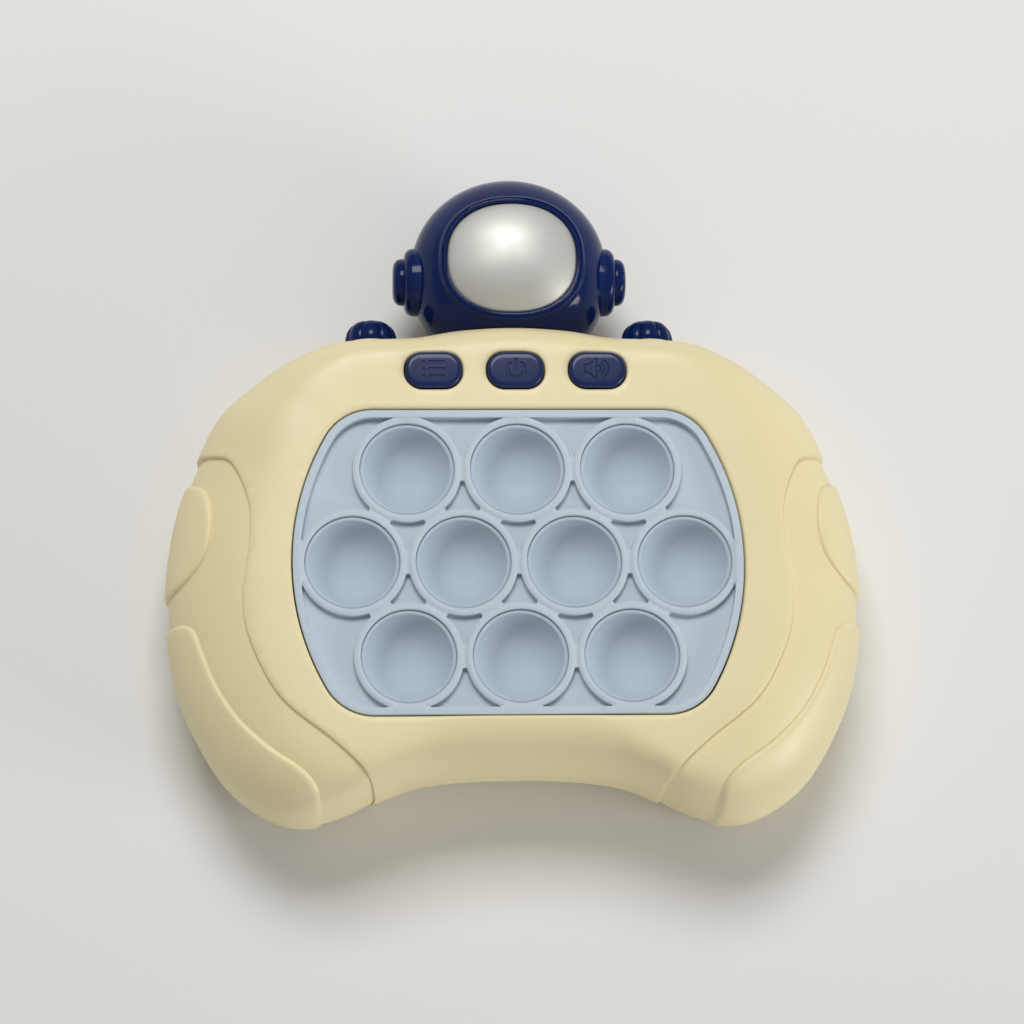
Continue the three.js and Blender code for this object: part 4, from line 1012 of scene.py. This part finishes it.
def helmet_front(material, cutter):
    centre = np.array((0, VISOR_CENTRE_Y))
    seam = HELMET_CENTRE[2] + SEAM

    def rim_ring(out, lift):
        outline = super_ellipse(VISOR_X, VISOR_Y, VISOR_POWER, FRONT_COUNT, out) + centre
        loop = polar_loop(outline, centre, FRONT_COUNT)
        return np.column_stack([loop, helmet_height(loop) + lift])

    def dome_ring(start, end, share, grow=0.0):
        loop = start + (end - start) * math.sin(TURN / 4 * share)
        return np.column_stack([loop, np.maximum(helmet_height(loop, grow), seam)])

    rings = [rim_ring(out, lift) for out, lift in VISOR_RIM]
    hole, start = rings[0][:, :2], rings[-1][:, :2]
    edge = polar_loop(helmet_outline(OUTLINE_COUNT), centre, FRONT_COUNT)
    inside_edge = polar_loop(helmet_outline(OUTLINE_COUNT, -HELMET_WALL), centre, FRONT_COUNT)
    rings += [dome_ring(start, edge, k / FRONT_ROWS) for k in range(1, FRONT_ROWS + 1)]
    rings += [
        dome_ring(hole, inside_edge, k / LINING_ROWS, -HELMET_WALL) for k in range(LINING_ROWS, -1, -1)
    ]
    faces = grid_faces(len(rings), FRONT_COUNT, around=True)
    piece = make("Helmet_front", [(np.vstack(rings), faces)], material, FINE_CREASE)
    cut(piece, [cutter])
    assign(piece, "case")


def helmet_rear(material, cutter):
    centre = np.array(HELMET_CENTRE[:2])
    rings = []
    for grow, order in ((0, range(REAR_ROWS - 1, -1, -1)), (-HELMET_WALL, range(REAR_ROWS))):
        loop = helmet_outline(REAR_COUNT, grow) - centre
        for k in order:
            turn = TURN / 4 * k / REAR_ROWS
            z = min(HELMET_CENTRE[2] - (HELMET_Z + grow) * math.sin(turn), HELMET_CENTRE[2] - SEAM)
            rings.append(np.column_stack([loop * math.cos(turn) + centre, np.full(REAR_COUNT, z)]))
    verts = list(map(tuple, np.vstack(rings)))
    faces = grid_faces(len(rings), REAR_COUNT)
    for ring, grow in ((0, 0), (len(rings) - 1, -HELMET_WALL)):
        pole, base = len(verts), ring * REAR_COUNT
        verts.append((*centre, HELMET_CENTRE[2] - HELMET_Z - grow))
        faces += [(pole, base + (i + 1) % REAR_COUNT, base + i) for i in range(REAR_COUNT)]
    piece = make("Helmet_rear", [(verts, faces)], material, FINE_CREASE)
    top = HELMET_WELL[2]
    section = [(0, -OVERRUN), (WELL_RADIUS, -OVERRUN), (WELL_RADIUS, top), (0, top)]
    well = make("Well_cutter", [lathe(section, HELMET_WELL_STEPS, upright(0, HELMET_SCREW_Y))], material)
    cut(piece, [cutter, well])
    bpy.data.objects.remove(well)
    join(piece, helmet_well(material))
    assign(piece, "case")


def helmet_well(material):
    """Lining of the helmet's screw well, ending just under the helmet's surface."""
    verts, faces = cup(0, HELMET_SCREW_Y, *HELMET_WELL)
    verts = np.array(verts)
    verts[:, 2] = np.maximum(verts[:, 2], helmet_height(verts[:, :2], front=False) + HELMET_WELL_SUNK)
    return make("Helmet_screw_well", [(verts, faces)], material)


def cut(piece, cutters):
    """Cuts the cutters out of a piece."""
    for cutter in cutters:
        change = piece.modifiers.new("cut", "BOOLEAN")
        change.operation = "DIFFERENCE"
        change.solver = "EXACT"
        change.object = cutter
    graph = bpy.context.evaluated_depsgraph_get()
    mesh = bpy.data.meshes.new_from_object(piece.evaluated_get(graph))
    old = piece.data
    piece.modifiers.clear()
    piece.data = mesh
    bpy.data.meshes.remove(old)
    mesh.set_sharp_from_angle(angle=math.radians(FINE_CREASE))


def join(piece, other):
    work = bmesh.new()
    work.from_mesh(piece.data)
    work.from_mesh(other.data)
    bpy.data.objects.remove(other)
    work.to_mesh(piece.data)
    work.free()


def case_cutter(material):
    """The case form, grown by the fit, that the helmet is cut to."""
    theta, _ = polar(catmull(FULL_OUTLINE, LINE_STEPS, closed=True))
    count = len(theta)
    rings = []
    for k in range(1 - CUTTER_ROWS, CUTTER_ROWS + 1):
        turn = np.full(count, TURN / 4 * abs(k) / CUTTER_ROWS * CUTTER_END)
        past = rim(theta, k >= 0)[1] * np.cos(turn)
        rings.append(shell_places(theta, past, turn, k >= 0, FIT))
    last = (len(rings) - 1) * count
    faces = grid_faces(len(rings), count)
    faces += [tuple(range(count))[::-1], tuple(range(last, last + count))]
    return make("Case_cutter", [(np.vstack(rings), faces)], material)


def visor(material):
    edge = super_ellipse(VISOR_X, VISOR_Y, VISOR_POWER, VISOR_COUNT, -FIT / 2)
    dome = [(share, 0) for share in np.linspace(*VISOR_FLAT, VISOR_ROWS)]
    rings = []
    for share, drop in dome + VISOR_EDGE + VISOR_BACK:
        loop = edge * share
        lift = VISOR_BULGE * (1 - ((loop / (VISOR_X, VISOR_Y)) ** 2).sum(1)) - drop
        spots = loop + (0, VISOR_CENTRE_Y)
        rings.append(np.column_stack([spots, helmet_height(spots) - VISOR_RECESS + lift]))
    last = (len(rings) - 1) * VISOR_COUNT
    faces = grid_faces(len(rings), VISOR_COUNT)
    faces += [tuple(range(VISOR_COUNT)), tuple(range(last, last + VISOR_COUNT))]
    piece = make("Visor", [(np.vstack(rings), faces)], material, ROUND_CREASE)
    assign(piece, "case")


def ear(side, hand, material):
    section = [*EAR_BASE, *map(tuple, catmull(EAR_CURVE, EAR_CURVE_STEPS)), EAR_TOP]

    def on_side(r, a, h):
        return side * h, EAR_Y + r * math.cos(a), HELMET_CENTRE[2] + r * math.sin(a)

    piece = make("Ear_pod_" + hand, [lathe(section, EAR_STEPS, on_side)], material, ROUND_CREASE)
    assign(piece, "case")


def dial(side, hand, material):
    cap = [(0, 0), DIAL_UNDER, *map(tuple, catmull(DIAL_CAP, DIAL_CURVE_STEPS)), (0, 1)]

    def on_axis(r, a, y):
        return side * DIAL_X + r * math.sin(a), y, PARTING + r * math.cos(a)

    def fluted(r, a, h):
        groove = abs(math.cos(FLUTES / 2 * a)) ** FLUTE_POWER
        depth = FLUTE_DEPTH * min(1, r * FLUTE_REACH) * (1 - groove)
        return on_axis(r * DIAL_RADIUS * (1 - depth), a, DIAL_BASE_Y + h * DIAL_HEIGHT)

    parts = [lathe(cap, DIAL_STEPS, fluted), lathe(STEM, ROUND_STEPS, on_axis)]
    piece = make("Dial_" + hand, parts, material, DIAL_CREASE)
    assign(piece, "dial_" + hand)


# Rear pieces
def battery_door(material):
    hole = (0, DOOR_SCREW_Y)

    def edge(points):
        return np.minimum(door(points), -disc(points, hole, DOOR_SCREW_HOLE))

    def seat(points):
        return disc(points, hole, SEAT_RADIUS)

    def surface(points):
        sunk = profile(seat(points), SEAT_STEP) * (DOOR_IN - SEAT_WALL - DOOR_OUT)
        return DOOR_OUT + DOOR_ROUND * (1 - profile(door(points), EDGE_STEP)) + sunk

    features = [(door, levels(EDGE_STEP)[1:]), (seat, levels(SEAT_STEP))]
    size = (DOOR_SIZE[0], DOOR_SIZE[1] + 2 * TONGUE[1])
    parts = [relief_plate(edge, features, size, (0, DOOR_Y), DOOR_MESH, surface, DOOR_IN)]
    ends = [DOOR_Y - DOOR_SIZE[1] / 2 + length for length in TAB_LENGTHS]
    for x in (-TAB_X, TAB_X):
        tab = box_outline(x - TAB_HALF, x + TAB_HALF, *ends)
        parts.append(plate(tab, *(DOOR_IN + height for height in TAB_HEIGHTS), TAB_BEVEL))
    assign(make("Battery_door", parts, material), "door")


def screw(name, x, y, seat, tip, body, material):
    """Pan-head screw pointing up, with a cross recess."""
    head = seat - SCREW_HEAD[-1][1]
    shank = [(SCREW_RADIUS, seat), (SCREW_RADIUS, tip - SCREW_RADIUS), (0, tip)]
    section = [(r, head + h) for r, h in SCREW_HEAD] + shank
    piece = make(name, [lathe(section, ROUND_STEPS, upright(x, y))], material)
    bars = []
    for long, wide in (CROSS, CROSS[::-1]):
        outline = box_outline(x - long, x + long, y - wide, y + wide)
        bars.append(make("Cross_bar", [plate(outline, head - OVERRUN, head + CROSS_DEPTH)], material))
    cut(piece, bars)
    for bar in bars:
        bpy.data.objects.remove(bar)
    assign(piece, body)


def screws(material):
    for k, place in enumerate(CASE_SCREWS, 1):
        screw(f"Case_screw_{k}", *place, WELL_DEPTH - FIT, CASE_SCREW_TIP, "case", material)
    for name, *values in MIDDLE_SCREWS:
        screw(name, 0, *values, material)


# Materials
def set_inputs(node, **values):
    """Sets inputs of a shader node; an underscore stands for a space in their names."""
    for key, value in values.items():
        node.inputs[key.replace("_", " ")].default_value = value


def add_node(tree, kind, **values):
    made = tree.nodes.new("ShaderNode" + kind)
    set_inputs(made, **values)
    return made


def noise(tree, coords, scale, detail, rough):
    made = add_node(tree, "TexNoise", Scale=scale, Detail=detail, Roughness=rough)
    tree.links.new(coords, made.inputs["Vector"])
    return made.outputs["Fac"]


def ramp(tree, source, stops):
    made = add_node(tree, "ValToRGB")
    tree.links.new(source, made.inputs["Fac"])
    for element, (place, colour) in zip(made.color_ramp.elements, stops):
        element.position = place
        element.color = (*colour, 1)
    return made.outputs["Color"]


def spread(tree, source, start, end, first, last):
    """Turns values from start to end into values from first to last."""
    made = add_node(tree, "MapRange", From_Min=start, From_Max=end, To_Min=first, To_Max=last)
    tree.links.new(source, made.inputs["Value"])
    return made.outputs["Result"]


def lay_over(tree, share, base, colour):
    """Lays a colour over the base by a share."""
    made = add_node(tree, "Mix")
    made.data_type = "RGBA"
    tree.links.new(share, made.inputs[0])
    tree.links.new(base, made.inputs[6])
    made.inputs[7].default_value = (*colour, 1)
    return made.outputs[2]


def tint(colour, factor):
    return tuple(min(1, c * factor) for c in colour)


def new_material(name):
    material = bpy.data.materials.new(name)
    material.use_nodes = True
    return material, material.node_tree.nodes["Principled BSDF"]


def surface_material(name, colour, rough, scale, depth, worn=None, blotch=0.05, dust=0.0, **fixed):
    """Moulded or coated surface: soft colour blotches, uneven gloss, fine grain, rubbed edges, and, where
    asked, painted shade that darkens its creases.
    """
    material, shader = new_material(name)
    tree = material.node_tree
    coords = add_node(tree, "TexCoord").outputs["Object"]
    edges = add_node(tree, "NewGeometry").outputs["Pointiness"]
    grain = noise(tree, coords, scale, *GRAIN)
    tones = zip(NOISE_MIDDLE, (tint(colour, 1 - blotch), tint(colour, 1 + blotch)))
    base = ramp(tree, noise(tree, coords, *BLOTCHES), tones)
    base = lay_over(tree, spread(tree, grain, *GRAIN_SHARE), base, tint(colour, GRAIN_TINT))
    base = lay_over(tree, spread(tree, edges, *WORN_SHARE), base, worn or tint(colour, WORN_TINT))
    # Painted shade: the crevice colour darkens concave creases, where shade would fall.
    if dust:
        base = lay_over(tree, spread(tree, edges, *CREVICE_SHADE_SHARE, dust), base, tint(colour, CREVICE_SHADE_TINT))
    tree.links.new(base, shader.inputs["Base Color"])
    smudges = noise(tree, coords, *SMUDGES)
    gloss = spread(tree, smudges, *NOISE_MIDDLE, rough - LESS_ROUGH, rough + MORE_ROUGH)
    tree.links.new(gloss, shader.inputs["Roughness"])
    bump = add_node(tree, "Bump", Strength=BUMP_STRENGTH, Distance=depth * MM)
    tree.links.new(grain, bump.inputs["Height"])
    tree.links.new(bump.outputs["Normal"], shader.inputs["Normal"])
    set_inputs(shader, **fixed)
    return material


def dress_cad(materials):
    """Finishes for the CAD nodes that stay as they are."""
    for name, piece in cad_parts.items():
        kind = next((CAD_FINISHES[start] for start in CAD_FINISHES if name.startswith(start)), None)
        if kind:
            piece.data.materials.clear()
            piece.data.materials.append(materials[kind])


# Stage
def make_stage():
    material, shader = new_material("Pale floor")
    set_inputs(shader, Base_Color=FLOOR_COLOUR, Roughness=1, Specular_IOR_Level=0)
    mesh = bpy.data.meshes.new("Floor")
    corners = box_outline(-FLOOR_HALF, FLOOR_HALF, -FLOOR_HALF, FLOOR_HALF)
    mesh.from_pydata([(x, y, -FLOOR_DROP) for x, y in corners], [], [(0, 1, 2, 3)])
    mesh.materials.append(material)
    add_object("Floor", mesh)


def make_lights():
    for name, place, size, power, angle in LAMPS:
        light = bpy.data.lights.new(name, "AREA")
        light.shape = "RECTANGLE"
        light.size, light.size_y = size
        light.energy = power
        light.spread = math.radians(angle)
        lamp = add_object(name, light)
        lamp.location = place
        lamp.rotation_euler = (Vector(LIGHT_AIM) - Vector(place)).to_track_quat("-Z", "Y").to_euler()
    world = bpy.data.worlds.new("Soft room")
    bpy.context.scene.world = world
    world.use_nodes = True
    set_inputs(world.node_tree.nodes["Background"], Color=ROOM_COLOUR, Strength=ROOM_STRENGTH)


def make_camera():
    a, e, roll_angle = map(math.radians, CAMERA_TURNS)
    back = Vector((math.sin(a) * math.cos(e), -math.cos(a) * math.cos(e), math.sin(e)))
    up = (Vector((0, 1, 0)) - back * back.y).normalized()
    axes = Matrix((up.cross(back), up, back)).transposed().to_4x4()
    spot = Vector(CAMERA_TARGET) + Vector((0, PANEL_Y, 0)) + back * CAMERA_DISTANCE
    camera = add_object("Camera", bpy.data.cameras.new("Camera"))
    camera.data.lens = CAMERA_LENS
    camera.matrix_world = Matrix.Translation(spot * MM) @ axes @ Matrix.Rotation(roll_angle, 4, "Z")
    bpy.context.scene.camera = camera


def build():
    make_camera()
    materials = {key: surface_material(*values, **more) for key, (*values, more) in FINISHES.items()}
    front_cover(materials["cream"])
    rear_cover(materials["cream"])
    battery_door(materials["cream"])
    bubble_mat(materials["mat"])
    for number, (x, y) in enumerate(bubble_places(), 1):
        bubble(number, x, y, materials["bubble"])
    for kind, *button in zip(("Mode", "Power", "Volume"), BUTTON_PLACES, icons(), ICON_WIDTHS):
        function_button(kind, *button, materials["button"])
    cutter = case_cutter(materials["navy"])
    helmet_front(materials["navy"], cutter)
    helmet_rear(materials["navy"], cutter)
    bpy.data.objects.remove(cutter)
    visor(materials["silver"])
    for side, hand in ((-1, "left"), (1, "right")):
        ear(side, hand, materials["navy"])
        dial(side, hand, materials["navy"])
    screws(materials["steel"])
    dress_cad(materials)
    make_stage()
    make_lights()
    bpy.context.scene.view_settings.view_transform = "Standard"


build()
